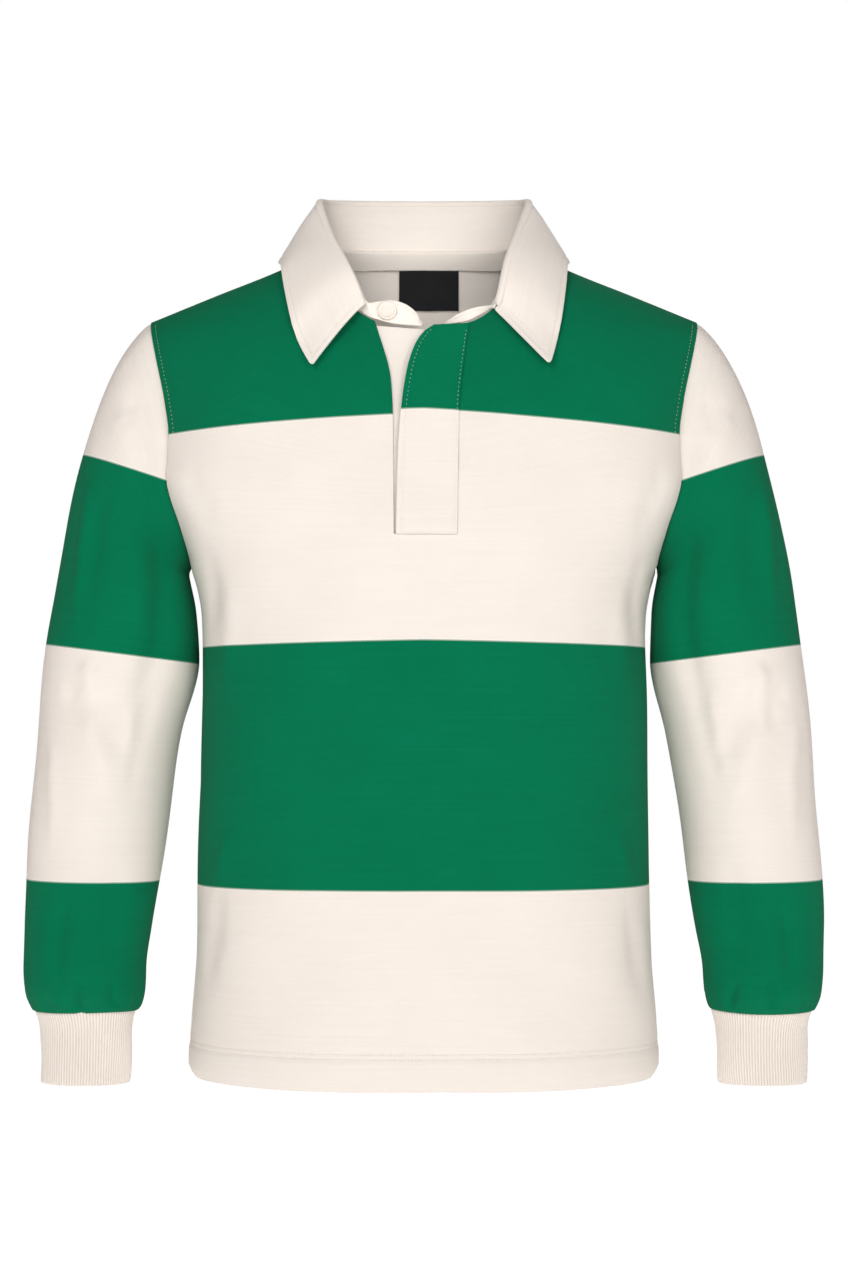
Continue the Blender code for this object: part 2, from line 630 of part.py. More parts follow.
def build_button():
    """Button on the stand's rounded end, lying flat against its outer face."""
    columns = stand_columns()[:len(STAND_BUTTON_END) + 1]
    before = max(k for k, (foot, _) in enumerate(columns) if foot[0] > BUTTON_X)
    (foot_a, top_a), (foot_b, top_b) = columns[before], columns[before + 1]
    share = (foot_a[0] - BUTTON_X) / (foot_a[0] - foot_b[0])
    foot, top = foot_a + (foot_b - foot_a) * share, top_a + (top_b - top_a) * share
    normal = unit(np.cross(foot_b + top_b - foot_a - top_a, top - foot))
    normal = normal if normal[1] < 0 else -normal
    centre = foot + (top - foot) * BUTTON_HEIGHT + normal * (TWILL + 1.6 * SEAM + BUTTON_THICK / 2)
    bpy.ops.mesh.primitive_cylinder_add(vertices=28, radius=BUTTON_RADIUS, depth=BUTTON_THICK,
                                        location=centre)
    obj = bpy.context.object
    obj.name = obj.data.name = "stand_button"
    obj.rotation_euler = Vector(normal).to_track_quat("Z", "Y").to_euler()
    bevel = obj.modifiers.new("edge", "BEVEL")
    bevel.width = 0.0010
    bevel.segments = 2
    bevel.limit_method = "ANGLE"
    bevel.angle_limit = radians(40)
    obj.data.materials.append(material("stand_button", CREAM, 0.55))
    obj.data.shade_smooth()
    for holder in list(obj.users_collection):
        holder.objects.unlink(obj)
    shirt.objects.link(obj)
    return obj


# ---------------------------------------------------------------- the shirt
for old in list(bpy.data.objects):
    bpy.data.objects.remove(old, do_unlink=True)
shirt = bpy.data.collections.new("rugby_shirt")
bpy.context.scene.collection.children.link(shirt)

build_front()
build_back()
for hand, label in ((-1, "right"), (1, "left")):
    build_sleeve("sleeve_" + label, hand)
    build_cuff("cuff_" + label, hand)
build_stand()
build_fall()
build_plackets()
build_neck_trims()
build_button()
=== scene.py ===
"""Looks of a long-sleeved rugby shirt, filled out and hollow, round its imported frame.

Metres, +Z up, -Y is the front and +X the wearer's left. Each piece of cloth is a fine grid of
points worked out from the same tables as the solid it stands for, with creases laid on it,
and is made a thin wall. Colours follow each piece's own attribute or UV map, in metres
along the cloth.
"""

from __future__ import annotations

import logging
from dataclasses import dataclass, field
from enum import Enum
from math import cos, pi, radians, sin
from typing import Callable, Sequence

import bmesh
import bpy
import numpy as np
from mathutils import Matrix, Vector


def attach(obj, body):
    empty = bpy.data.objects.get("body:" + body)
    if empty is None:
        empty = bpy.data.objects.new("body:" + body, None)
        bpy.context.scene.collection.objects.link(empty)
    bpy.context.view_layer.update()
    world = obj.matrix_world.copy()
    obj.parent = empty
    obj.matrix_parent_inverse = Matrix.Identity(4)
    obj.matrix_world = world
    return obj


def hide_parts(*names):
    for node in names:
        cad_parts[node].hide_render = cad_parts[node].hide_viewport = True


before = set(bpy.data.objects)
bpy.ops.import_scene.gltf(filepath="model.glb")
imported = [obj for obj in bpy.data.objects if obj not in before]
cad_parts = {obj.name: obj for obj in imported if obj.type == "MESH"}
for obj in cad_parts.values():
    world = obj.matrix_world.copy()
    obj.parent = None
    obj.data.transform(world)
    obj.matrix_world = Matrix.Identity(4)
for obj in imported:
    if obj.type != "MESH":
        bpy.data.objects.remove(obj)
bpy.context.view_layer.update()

log = logging.getLogger("rugby_shirt")

Array = np.ndarray
Table = Sequence[Sequence[float]]

FRONT, BACK = -1, 1          # side of the body
RIGHT, LEFT = -1, 1          # hand of the wearer


# ---------------------------------------------------------------- curves
class Curve:
    """Monotone cubic through rows of values, for arrays of any size; flat beyond its ends."""

    def __init__(self, xs: Sequence[float], ys: Sequence) -> None:
        """Work out the tangents.

        Args:
            xs: Rising or falling positions.
            ys: A value, or an array of values, at each position.
        """
        xs, ys = np.asarray(xs, float), np.asarray(ys, float)
        if xs[0] > xs[-1]:
            xs, ys = xs[::-1], ys[::-1]
        self.xs, self.ys = xs, ys
        step = np.diff(xs).reshape((-1,) + (1,) * (ys.ndim - 1))
        slope = np.diff(ys, axis=0) / step
        tangent = np.zeros_like(ys)
        tangent[0], tangent[-1] = slope[0], slope[-1]
        before, after = 2 * step[1:] + step[:-1], step[1:] + 2 * step[:-1]
        same = slope[:-1] * slope[1:] > 0
        first, second = np.where(same, slope[:-1], 1.0), np.where(same, slope[1:], 1.0)
        tangent[1:-1] = np.where(same, (before + after) / (before / first + after / second), 0.0)
        self.tangent = tangent

    @classmethod
    def column(cls, table: Table, index: int, key: int = 0) -> "Curve":
        """Curve of one column of a table against another."""
        return cls([row[key] for row in table], [row[index] for row in table])

    def __call__(self, x: Array | float) -> Array:
        """Value at x."""
        x = np.clip(np.asarray(x, float), self.xs[0], self.xs[-1])
        i = np.clip(np.searchsorted(self.xs, x) - 1, 0, len(self.xs) - 2)
        step = self.xs[i + 1] - self.xs[i]
        t = (x - self.xs[i]) / step
        shape = x.shape + (1,) * (self.ys.ndim - 1)
        t, step = t.reshape(shape), step.reshape(shape)
        return ((2 * t ** 3 - 3 * t ** 2 + 1) * self.ys[i]
                + (t ** 3 - 2 * t ** 2 + t) * step * self.tangent[i]
                + (3 * t ** 2 - 2 * t ** 3) * self.ys[i + 1]
                + (t ** 3 - t ** 2) * step * self.tangent[i + 1])


def along(points: Sequence, shares: Array | float) -> Array:
    """Points at shares of the length of a smooth curve through the points.

    Args:
        points: Points in two or three dimensions.
        shares: Shares from 0 to 1.

    Returns:
        A point for each share.
    """
    points = np.asarray(points, float)
    ext = np.vstack([2 * points[0] - points[1], points, 2 * points[-1] - points[-2]])
    t = np.linspace(0, 1, 17)[:-1, None]
    runs = []
    for a, b, c, d in zip(ext, ext[1:], ext[2:], ext[3:]):
        runs.append(0.5 * (2 * b + (c - a) * t + (2 * a - 5 * b + 4 * c - d) * t ** 2
                           + (3 * b - a - 3 * c + d) * t ** 3))
    fine = np.vstack(runs + [points[-1:]])
    run = np.concatenate([[0], np.cumsum(np.linalg.norm(np.diff(fine, axis=0), axis=1))])
    return np.stack([np.interp(np.asarray(shares) * run[-1], run, fine[:, k])
                     for k in range(fine.shape[1])], axis=-1)


def unit(vectors: Array) -> Array:
    """Vectors of length one."""
    return vectors / np.maximum(np.linalg.norm(vectors, axis=-1, keepdims=True), 1e-12)


def ease(value: Array | float) -> Array:
    """Smooth step from 0 to 1."""
    value = np.clip(value, 0, 1)
    return value * value * (3 - 2 * value)


def spread(total: float, edge: Sequence[float], count: int, both: bool = True) -> Array:
    """Shares across a length, with a few rows at given distances from its edges.

    Args:
        total: The length.
        edge: Distances of the rows that lie along an edge.
        count: Even steps between them.
        both: Rows lie along both edges, or only along the last one.

    Returns:
        Rising shares from 0 to 1.
    """
    near = [e / total for e in edge]
    first = near if both else [0.0]
    middle = np.linspace(first[-1], 1 - near[-1], count + 1)
    return np.array(list(first[:-1]) + list(middle) + [1 - e for e in near[::-1]][1:])


def grid_normals(points: Array, closed: bool = False) -> Array:
    """Normals of a grid of points.

    Args:
        points: Rows of columns of points.
        closed: The last column meets the first.

    Returns:
        Unit vectors, towards the side from which rows rise and columns run to the right.
    """
    if closed:
        wide = np.concatenate([points[:, -1:], points, points[:, :1]], axis=1)
        across = (wide[:, 2:] - wide[:, :-2]) / 2
    else:
        across = np.gradient(points, axis=1)
    return unit(np.cross(across, np.gradient(points, axis=0)))


# ---------------------------------------------------------------- creases
@dataclass(frozen=True)
class Crease:
    """A soft trough or ridge laid on cloth."""

    path: tuple[tuple[float, float], ...]   # (x, z) in the front view
    side: int                               # FRONT or BACK
    width: float                            # half width
    height: float                           # above 0 a ridge, below 0 a trough
    head: float = 0.35                      # share of the length over which it starts
    tail: float = 0.5                       # and over which it ends


def crease_offset(points: Array, creases: Sequence[Crease], base: Array | None = None) -> Array:
    """How far each point moves out for its creases.

    Args:
        points: Grid or line of points.
        creases: Creases, placed in the front view on the cloth's front or back.
        base: Points of the whole cloth, where these are only a line on it.

    Returns:
        Offset along the normal for each point.
    """
    flat = points.reshape(-1, 3)
    ground = flat if base is None else base.reshape(-1, 3)
    total = np.zeros(len(flat))
    for crease in creases:
        own = ground[:, 1] * crease.side > -0.012
        if not own.any():
            continue
        line = along(crease.path, np.linspace(0, 1, 14))
        anchors = []
        for x, z in line:
            away = (ground[:, 0] - x) ** 2 + (ground[:, 2] - z) ** 2 + np.where(own, 0, 1.0)
            anchors.append(ground[np.argmin(away)])
        anchors = np.array(anchors)
        if np.min(np.linalg.norm(anchors[:, [0, 2]] - line, axis=1)) > 0.03:
            continue
        best, share = np.full(len(flat), 1e9), np.zeros(len(flat))
        for k in range(len(anchors) - 1):
            a, run = anchors[k], anchors[k + 1] - anchors[k]
            t = np.clip((flat - a) @ run / max(run @ run, 1e-12), 0, 1)
            away = np.linalg.norm(flat - a - t[:, None] * run, axis=1)
            nearer = away < best
            best = np.where(nearer, away, best)
            share = np.where(nearer, (k + t) / (len(anchors) - 1), share)
        taper = ease(share / crease.head) * ease((1 - share) / crease.tail)
        width = crease.width * (0.55 + 0.45 * taper)
        total += crease.height * taper * np.exp(-(best / width) ** 2)
    return total.reshape(points.shape[:-1])


# ---------------------------------------------------------------- shader wiring
class Value:
    """A socket in a node tree, with arithmetic that adds Math nodes."""

    def __init__(self, shade: "Shade", socket: bpy.types.NodeSocket) -> None:
        """Wrap a socket."""
        self.shade, self.socket = shade, socket

    def _math(self, operation: str, a: "Value | float", b: "Value | float" = 0.0,
              c: "Value | float" = 0.0) -> "Value":
        """One Math node."""
        return self.shade.node("ShaderNodeMath", {"operation": operation}, {0: a, 1: b, 2: c})

    def __add__(self, other: "Value | float") -> "Value":
        """Sum."""
        return self._math("ADD", self, other)

    __radd__ = __add__

    def __mul__(self, other: "Value | float") -> "Value":
        """Product."""
        return self._math("MULTIPLY", self, other)

    __rmul__ = __mul__

    def __sub__(self, other: "Value | float") -> "Value":
        """Difference."""
        return self._math("SUBTRACT", self, other)

    def __rsub__(self, other: "Value | float") -> "Value":
        """Difference from a number."""
        return self._math("SUBTRACT", other, self)

    def sine(self) -> "Value":
        """Sine."""
        return self._math("SINE", self)

    def absolute(self) -> "Value":
        """Size without its sign."""
        return self._math("ABSOLUTE", self)

    def above(self, edge: float, soft: float) -> "Value":
        """0 below an edge and 1 above it, over a soft width."""
        return self.shade.node("ShaderNodeMapRange", {"interpolation_type": "SMOOTHSTEP"},
                               {0: self, 1: edge - soft / 2, 2: edge + soft / 2})


class Shade:
    """A material and the nodes that feed its shader."""

    specular = 0.04                      # matt cloth

    def __init__(self, name: str, roughness: float, sheen: float, sheen_roughness: float) -> None:
        """Make the material with what is the same all over it."""
        self.material = bpy.data.materials.new(name)
        self.material.use_nodes = True
        self.tree = self.material.node_tree
        self.shader = self.tree.nodes["Principled BSDF"]
        self.shader.inputs["Roughness"].default_value = roughness
        self.shader.inputs["Metallic"].default_value = 0.0
        self.shader.inputs["Specular IOR Level"].default_value = self.specular
        self.shader.inputs["Sheen Weight"].default_value = sheen
        self.shader.inputs["Sheen Roughness"].default_value = sheen_roughness

    def node(self, kind: str, settings: dict, sockets: dict, output: int | str = 0) -> Value:
        """Add a node.

        Args:
            kind: Its type.
            settings: Its properties, set first.
            sockets: Numbers, colours or values for its inputs.
            output: The output to use.

        Returns:
            That output.
        """
        made = self.tree.nodes.new(kind)
        for name, value in settings.items():
            setattr(made, name, value)
        for name, value in sockets.items():
            if isinstance(value, Value):
                self.tree.links.new(value.socket, made.inputs[name])
            else:
                made.inputs[name].default_value = value
        return Value(self, made.outputs[output])

    def place(self, scale: tuple[float, float, float] = (1, 1, 1), turn: float = 0.0) -> Value:
        """Coordinates along the cloth from its UV map, in metres, scaled and turned."""
        here = self.node("ShaderNodeUVMap", {"uv_map": "cloth"}, {})
        sockets = {0: here, "Rotation": (0, 0, turn), "Scale": scale}
        return self.node("ShaderNodeMapping", {}, sockets)

    def part(self, vector: Value, axis: str) -> Value:
        """One part of a vector."""
        return self.node("ShaderNodeSeparateXYZ", {}, {0: vector}, axis)

    def noise(self, vector: Value, scale: float, detail: float = 2.0, rough: float = 0.5) -> Value:
        """Noise from 0 to 1."""
        sockets = {"Vector": vector, "Scale": scale, "Detail": detail, "Roughness": rough}
        return self.node("ShaderNodeTexNoise", {}, sockets, "Fac")

    def attribute(self, name: str) -> Value:
        """A number stored at the points of the cloth."""
        return self.node("ShaderNodeAttribute", {"attribute_name": name}, {}, "Fac")

    def mix(self, share: Value | float, low: "Value | tuple", high: "Value | tuple") -> Value:
        """Blend of two colours."""
        low, high = ((*c, 1) if isinstance(c, tuple) and len(c) == 3 else c for c in (low, high))
        return self.node("ShaderNodeMix", {"data_type": "RGBA"}, {0: share, 6: low, 7: high}, 2)

    def finish(self, colour: Value, height: Value, depth: float,
               rough: Value | None = None) -> None:
        """Link the colour and the bump to the shader."""
        self.tree.links.new(colour.socket, self.shader.inputs["Base Color"])
        sockets = {"Strength": 1.0, "Distance": depth, "Height": height}
        bump = self.node("ShaderNodeBump", {}, sockets)
        self.tree.links.new(bump.socket, self.shader.inputs["Normal"])
        if rough is not None:
            self.tree.links.new(rough.socket, self.shader.inputs["Roughness"])


# ---------------------------------------------------------------- finishes
class Dye(Enum):
    """Colours of the yarn and trims."""

    GREEN = (0.0010, 0.168, 0.0750)
    GREEN_DEEP = (0.0006, 0.132, 0.0570)
    CREAM = (0.830, 0.760, 0.700)
    CREAM_WARM = (0.770, 0.690, 0.620)
    PALE = (0.880, 0.850, 0.800)
    BLACK = (0.0100, 0.0100, 0.0110)
    BLACK_SOFT = (0.0200, 0.0200, 0.0220)


@dataclass(frozen=True)
class JerseyFinish:
    """Heavy cotton jersey, plain cream or in wide hoops."""

    name: str
    hooped: bool
    borders: tuple[float, ...] = ()      # hoop heights where the colour changes, from the top down
    top_green: bool = True
    wale: float = 0.00115                # width of one column of stitches
    course: float = 0.00090              # height of one row

    def make(self) -> bpy.types.Material:
        """The material, with its knit, slubs and slight unevenness."""
        s = Shade(self.name, 0.90, 0.02 if self.hooped else 0.12, 0.45)
        cloth = s.place()
        u, v = s.part(cloth, "X"), s.part(cloth, "Y")
        grain = s.noise(cloth, 900.0, 2.0, 0.65)
        patch = s.noise(cloth, 16.0, 3.0, 0.55)
        slub = s.noise(s.place((9.0, 420.0, 1.0)), 1.0, 3.0, 0.6)
        wales = (u * (2 * pi / self.wale)).sine().absolute()
        courses = (v * (2 * pi / self.course)).sine()
        tone = slub * 0.35 + grain * 0.35 + patch * 0.3
        cream = s.mix(tone.above(0.5, 0.6), Dye.CREAM_WARM.value, Dye.CREAM.value)
        colour = cream
        if self.hooped:
            hoop = s.attribute("hoop")
            ragged = hoop + (grain - 0.5) * 0.0006
            green = s.mix(tone.above(0.5, 0.7), Dye.GREEN_DEEP.value, Dye.GREEN.value)
            share: Value | float = 1.0 if self.top_green else 0.0
            pale: Value | float = 0.0
            sign = -1.0 if self.top_green else 1.0
            for border in self.borders:
                below = 1.0 - ragged.above(border, 0.0005)
                share = below * sign + share
                line = 1.0 - (ragged - border).absolute().above(0.0009, 0.0009)
                pale = line + pale
                sign = -sign
            colour = s.mix(share, cream, green)
            colour = s.mix(pale * 0.35, colour, Dye.PALE.value)
        height = wales * 0.35 + courses * 0.15 + grain * 0.45 + slub * 0.35
        s.finish(colour, height, 0.00032, 0.84 + grain * 0.12)
        return s.material


@dataclass(frozen=True)
class TwillFinish:
    """Cotton twill of the collar, with its fine diagonal."""

    name: str
    pitch: float = 0.00130

    def make(self) -> bpy.types.Material:
        """The material."""
        s = Shade(self.name, 0.82, 0.16, 0.45)
        cloth = s.place()
        across = s.part(s.place(turn=radians(62)), "X")
        twill = (across * (2 * pi / self.pitch)).sine()
        grain = s.noise(cloth, 1000.0, 2.0, 0.6)
        slub = s.noise(s.place((12.0, 380.0, 1.0)), 1.0, 3.0, 0.6)
        patch = s.noise(cloth, 22.0, 3.0, 0.5)
        tone = slub * 0.4 + grain * 0.3 + patch * 0.3
        colour = s.mix(tone.above(0.5, 0.6), Dye.CREAM_WARM.value, Dye.CREAM.value)
        s.finish(colour, twill * 0.22 + grain * 0.4 + slub * 0.4, 0.00026, 0.78 + grain * 0.12)
        return s.material


@dataclass(frozen=True)
class RibFinish:
    """Rib knit of the cuffs; the ribs themselves are in the mesh, and painted shade darkens their
    valleys.
    """

    name: str

    def make(self) -> bpy.types.Material:
        """The material."""
        s = Shade(self.name, 0.88, 0.24, 0.45)
        cloth = s.place()
        grain = s.noise(cloth, 900.0, 2.0, 0.6)
        courses = (s.part(cloth, "Y") * (2 * pi / 0.0012)).sine()
        rib_shade = s.attribute("rib_shade")
        tone = s.mix(grain.above(0.5, 0.7), Dye.CREAM_WARM.value, Dye.CREAM.value)
        # painted shade: the colour goes towards a brown grey deep in each rib valley, where shade would
        # fall
        colour = s.mix(rib_shade * 0.60, tone, (0.50, 0.42, 0.36))
        s.finish(colour, courses * 0.2 + grain * 0.5, 0.00025, 0.84 + grain * 0.1)
        return s.material


@dataclass(frozen=True)
class LabelFinish:
    """Plain woven satin label, with a woven edge."""

    name: str

    def make(self) -> bpy.types.Material:
        """The material."""
        s = Shade(self.name, 0.42, 0.3, 0.3)
        cloth = s.place()
        grain = s.noise(s.place((300.0, 1500.0, 1.0)), 1.0, 2.0, 0.6)
        weave = (s.part(cloth, "Y") * (2 * pi / 0.0007)).sine()
        patch = s.noise(cloth, 60.0, 2.0, 0.5)
        colour = s.mix(patch * 0.6 + grain * 0.4, Dye.BLACK.value, Dye.BLACK_SOFT.value)
        s.finish(colour, weave * 0.5 + grain * 0.5, 0.00012, 0.36 + grain * 0.16)
        return s.material


@dataclass(frozen=True)
class SmoothFinish:
    """Sewing thread, or the button's moulded plastic."""

    name: str
    colour: tuple[float, float, float]
    roughness: float
    sheen: float = 0.0

    def make(self) -> bpy.types.Material:
        """The material."""
        s = Shade(self.name, self.roughness, self.sheen, 0.4)
        here = s.node("ShaderNodeTexCoord", {}, {}, "Object")
        grain = s.noise(here, 700.0, 2.0, 0.5)
        patch = s.noise(here, 90.0, 2.0, 0.5)
        low = tuple(0.88 * c for c in self.colour)
        colour = s.mix(grain * 0.5 + patch * 0.5, low, self.colour)
        s.finish(colour, grain, 0.00006, self.roughness - 0.05 + grain * 0.1)
        return s.material


# ---------------------------------------------------------------- cloth meshes
@dataclass
class Cloth:
    """One piece of cloth: a grid of points made a thin wall, with its UV map in metres."""

    name: str
    points: Array                        # rows, columns, 3
    thickness: float
    material: bpy.types.Material
    closed: bool = False                 # the last column meets the first
    out: Array | None = None             # unit vectors on the outer side of the grid
    numbers: dict[str, Array] = field(default_factory=dict)
    gaps: Callable[[int, int], bool] | None = None
    soft_edge: float = 0.0               # bevel on the wall's edges
    full_from: int = 0                   # rows below this one are doubled

    def build(self) -> bpy.types.Object:
        """Make the object.

        Returns:
            The finished object, at the origin.
        """
        rows, count = self.points.shape[:2]
        across = np.linalg.norm(np.diff(self.points, axis=1), axis=2)
        up = np.linalg.norm(np.diff(self.points, axis=0), axis=2)
        u_line = np.concatenate([[0], np.cumsum(across[rows // 2])])
        u = np.tile(u_line - u_line[-1] / 2, (rows, 1))
        v = np.vstack([np.zeros(count), np.cumsum(up, axis=0)])
        v = np.tile(v.mean(axis=1)[:, None], (1, count))
        last = float(np.linalg.norm(self.points[rows // 2, 0] - self.points[rows // 2, -1]))

        normals = grid_normals(self.points, self.closed)
        out = self.out if self.out is not None else normals
        turned = float(np.sum(normals * out)) < 0
        faces, where = [], []
        for r in range(rows - 1):
            for c in range(count if self.closed else count - 1):
                if self.gaps is not None and self.gaps(r, c):
                    continue
                d = (c + 1) % count
                wrap = last if d == 0 else 0.0
                corners = [(r, c, 0.0), (r, d, wrap), (r + 1, d, wrap), (r + 1, c, 0.0)]
                if turned:
                    corners.reverse()
                faces.append([i * count + j for i, j, _ in corners])
                where += [(u[i, j] if not w else u[i, count - 1] + w, v[i, j])
                          for i, j, w in corners]

        mesh = bpy.data.meshes.new(self.name)
        mesh.from_pydata(self.points.reshape(-1, 3).tolist(), [], faces)
        layer = mesh.uv_layers.new(name="cloth")
        layer.data.foreach_set("uv", np.array(where, np.float32).ravel())
        for name, values in self.numbers.items():
            mesh.attributes.new(name, "FLOAT", "POINT").data.foreach_set(
                "value", np.ascontiguousarray(values, np.float32).ravel())
        mesh.materials.append(self.material)
        piece = bpy.data.objects.new(self.name, mesh)
        bpy.context.scene.collection.objects.link(piece)

        bpy.ops.object.select_all(action="DESELECT")
        piece.select_set(True)
        bpy.context.view_layer.objects.active = piece
        wall = piece.modifiers.new("wall", "SOLIDIFY")
        wall.offset, wall.use_quality_normals = -1.0, True
        wall.thickness = self.thickness
        if self.full_from:
            group = piece.vertex_groups.new(name="hem")
            group.add(list(range(count * rows)), 0.5, "REPLACE")
            group.add(list(range(count * self.full_from)), 1.0, "REPLACE")
            wall.thickness, wall.vertex_group = 2 * self.thickness, group.name
        bpy.ops.object.modifier_apply(modifier=wall.name)
        if self.soft_edge:
            bevel = piece.modifiers.new("edge", "BEVEL")
            bevel.width, bevel.segments = self.soft_edge, 2
            bevel.limit_method, bevel.angle_limit = "ANGLE", radians(55)
            bpy.ops.object.modifier_apply(modifier=bevel.name)
        bpy.ops.object.shade_smooth_by_angle(angle=radians(50))
        log.info("%s: %d faces", self.name, len(piece.data.polygons))
        return piece


def sheet(piece: bpy.types.Object, node: str, slot: str, area: float,
          with_pieces: Sequence[bpy.types.Object] = ()) -> None:
    """Attach a piece of cloth to the root and hide the solid it stands for.

    Args:
        piece: The cloth.
        node: The solid it stands for.
        slot: The record's material slot; not used.
        area: Area of its cut; not used.
        with_pieces: Pieces that lie on it.
    """
    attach(piece, "root")
    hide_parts(node)
    list(with_pieces)


# ---------------------------------------------------------------- the body's form
@dataclass
class BodyForm:
    """Rounded form of the filled-out body, from its tables."""

    slit_foot: float = -0.2545
    armpit: float = -0.275
    round_from: float = -0.170           # the chest curves back to the shoulder above this level
    fullness: float = 2.4                # power of the rounded sections
    side: Table = (                      # z, half width
        (-0.716, 0.1990), (-0.706, 0.2036), (-0.669, 0.2015), (-0.620, 0.1982), (-0.550, 0.1963),
        (-0.470, 0.1948), (-0.400, 0.1935), (-0.347, 0.1928), (-0.320, 0.1935), (-0.300, 0.1965),
        (-0.275, 0.2035))
    depth: Table = (                     # z, front, back
        (-0.716, 0.118, 0.105), (-0.600, 0.118, 0.101), (-0.500, 0.120, 0.097),
        (-0.350, 0.125, 0.095), (-0.250, 0.124, 0.101), (-0.170, 0.1185, 0.105),
        (-0.100, 0.118, 0.105), (0.060, 0.118, 0.105))
    armhole: Table = (                   # z, x, front y, back y
        (-0.0610, 0.2390, 0.000, 0.000), (-0.0635, 0.2385, 0.012, 0.013),
        (-0.0700, 0.2372, 0.024, 0.025), (-0.0850, 0.2338, 0.037, 0.039),
        (-0.1050, 0.2290, 0.047, 0.050), (-0.1350, 0.2222, 0.056, 0.060),
        (-0.1660, 0.2180, 0.061, 0.065), (-0.1900, 0.2185, 0.063, 0.066),
        (-0.2040, 0.2195, 0.062, 0.064), (-0.2200, 0.2165, 0.058, 0.059),
        (-0.2390, 0.2105, 0.049, 0.049), (-0.2550, 0.2065, 0.037, 0.037),
        (-0.2680, 0.2040, 0.022, 0.022), (-0.2750, 0.2035, 0.000, 0.000))
    ridge: Table = (                     # x, front z, back z
        (0.000, 0.020, 0.046), (0.040, 0.016, 0.036), (0.070, 0.009, 0.018),
        (0.088, 0.003, 0.003), (0.124, -0.015, -0.015), (0.180, -0.0375, -0.0375),
        (0.239, -0.061, -0.061), (0.270, -0.073, -0.073))
    neck_front: Table = (                # x, z
        (0.0000, -0.0800), (0.0160, -0.0790), (0.0280, -0.0775), (0.0410, -0.0745),
        (0.0520, -0.0680), (0.0600, -0.0600), (0.0700, -0.0400), (0.0775, -0.0200),
        (0.0835, -0.0040), (0.0880, 0.0030))
    neck_back: Table = (                 # x, z
        (0.0880, 0.0030), (0.0800, 0.0036), (0.0600, 0.0050), (0.0300, 0.0065),
        (0.0000, 0.0070))

    def __post_init__(self) -> None:
        """Make the curves."""
        self.side_curve = Curve.column(self.side, 1)
        self.armhole_x = Curve.column(self.armhole, 1)
        self.depths = {FRONT: Curve.column(self.depth, 1), BACK: Curve.column(self.depth, 2)}
        self.ridges = {FRONT: Curve.column(self.ridge, 1), BACK: Curve.column(self.ridge, 2)}
        self.neck = {FRONT: Curve.column(self.neck_front, 1), BACK: Curve.column(self.neck_back, 1)}
        self.widths = {side: self._width_curve(side) for side in (FRONT, BACK)}

    def _width_curve(self, side: int) -> Curve:
        """Half widths of the full sections, carried on up past the armholes."""
        rows = list(self.side)
        for z, x, front_y, back_y in list(self.armhole)[-2:0:-1]:
            y = front_y if side == FRONT else back_y
            share = y / float(self.depths[side](z) * self.rise(side, x, z))
            rows.append((z, x / (1 - share ** self.fullness) ** (1 / self.fullness)))
        rows.append((self.armhole[0][0], rows[-1][1]))
        return Curve.column(rows, 1)

    def rise(self, side: int, x: Array | float, z: Array | float) -> Array:
        """Share of the depth left where the cloth curves back to the shoulder."""
        share = (np.asarray(z) - self.round_from) / (self.ridges[side](np.abs(x)) - self.round_from)
        return np.sqrt(1 - np.clip(share, 0, 1) ** 2)

    def surface(self, side: int, x: Array | float, z: Array | float) -> Array:
        """Points of the front or back surface."""
        x, z = np.broadcast_arrays(np.asarray(x, float), np.asarray(z, float))
        across = 1 - (np.abs(x) / self.widths[side](z)) ** self.fullness
        across = np.maximum(across, 0) ** (1 / self.fullness)
        y = side * self.depths[side](z) * across * self.rise(side, x, z)
        return np.stack([x, y, z], axis=-1)

    def normal(self, side: int, x: Array | float, z: Array | float, step: float = 0.0015) -> Array:
        """Outward unit normals of the front or back surface."""
        x, z = np.asarray(x, float), np.asarray(z, float)
        up = self.surface(side, x, z + step) - self.surface(side, x, z - step)
        across = self.surface(side, x + step, z) - self.surface(side, x - step, z)
        out = unit(np.cross(up, across))
        return np.where(out[..., 1:2] * side > 0, out, -out)

    def point(self, side: int, x: Array | float, z: Array | float, out: float = 0.0) -> Array:
        """Points of the surface, moved out along its normal."""
        return self.surface(side, x, z) + out * self.normal(side, x, z)

    def edge_x(self, z: Array | float) -> Array:
        """Edge of the body in the front view: side seam, then armhole."""
        z = np.asarray(z, float)
        return np.where(z < self.armpit, self.side_curve(z), self.armhole_x(z))

    def armhole_path(self, side: int, count: int = 60) -> Array:
        """Armhole seam of the wearer's left, from the shoulder point down to the armpit."""
        z = self.armhole[0][0] + (self.armpit - self.armhole[0][0]) * (
            1 - np.cos(np.linspace(0, pi, count))) / 2
        return self.surface(side, self.armhole_x(z), z)


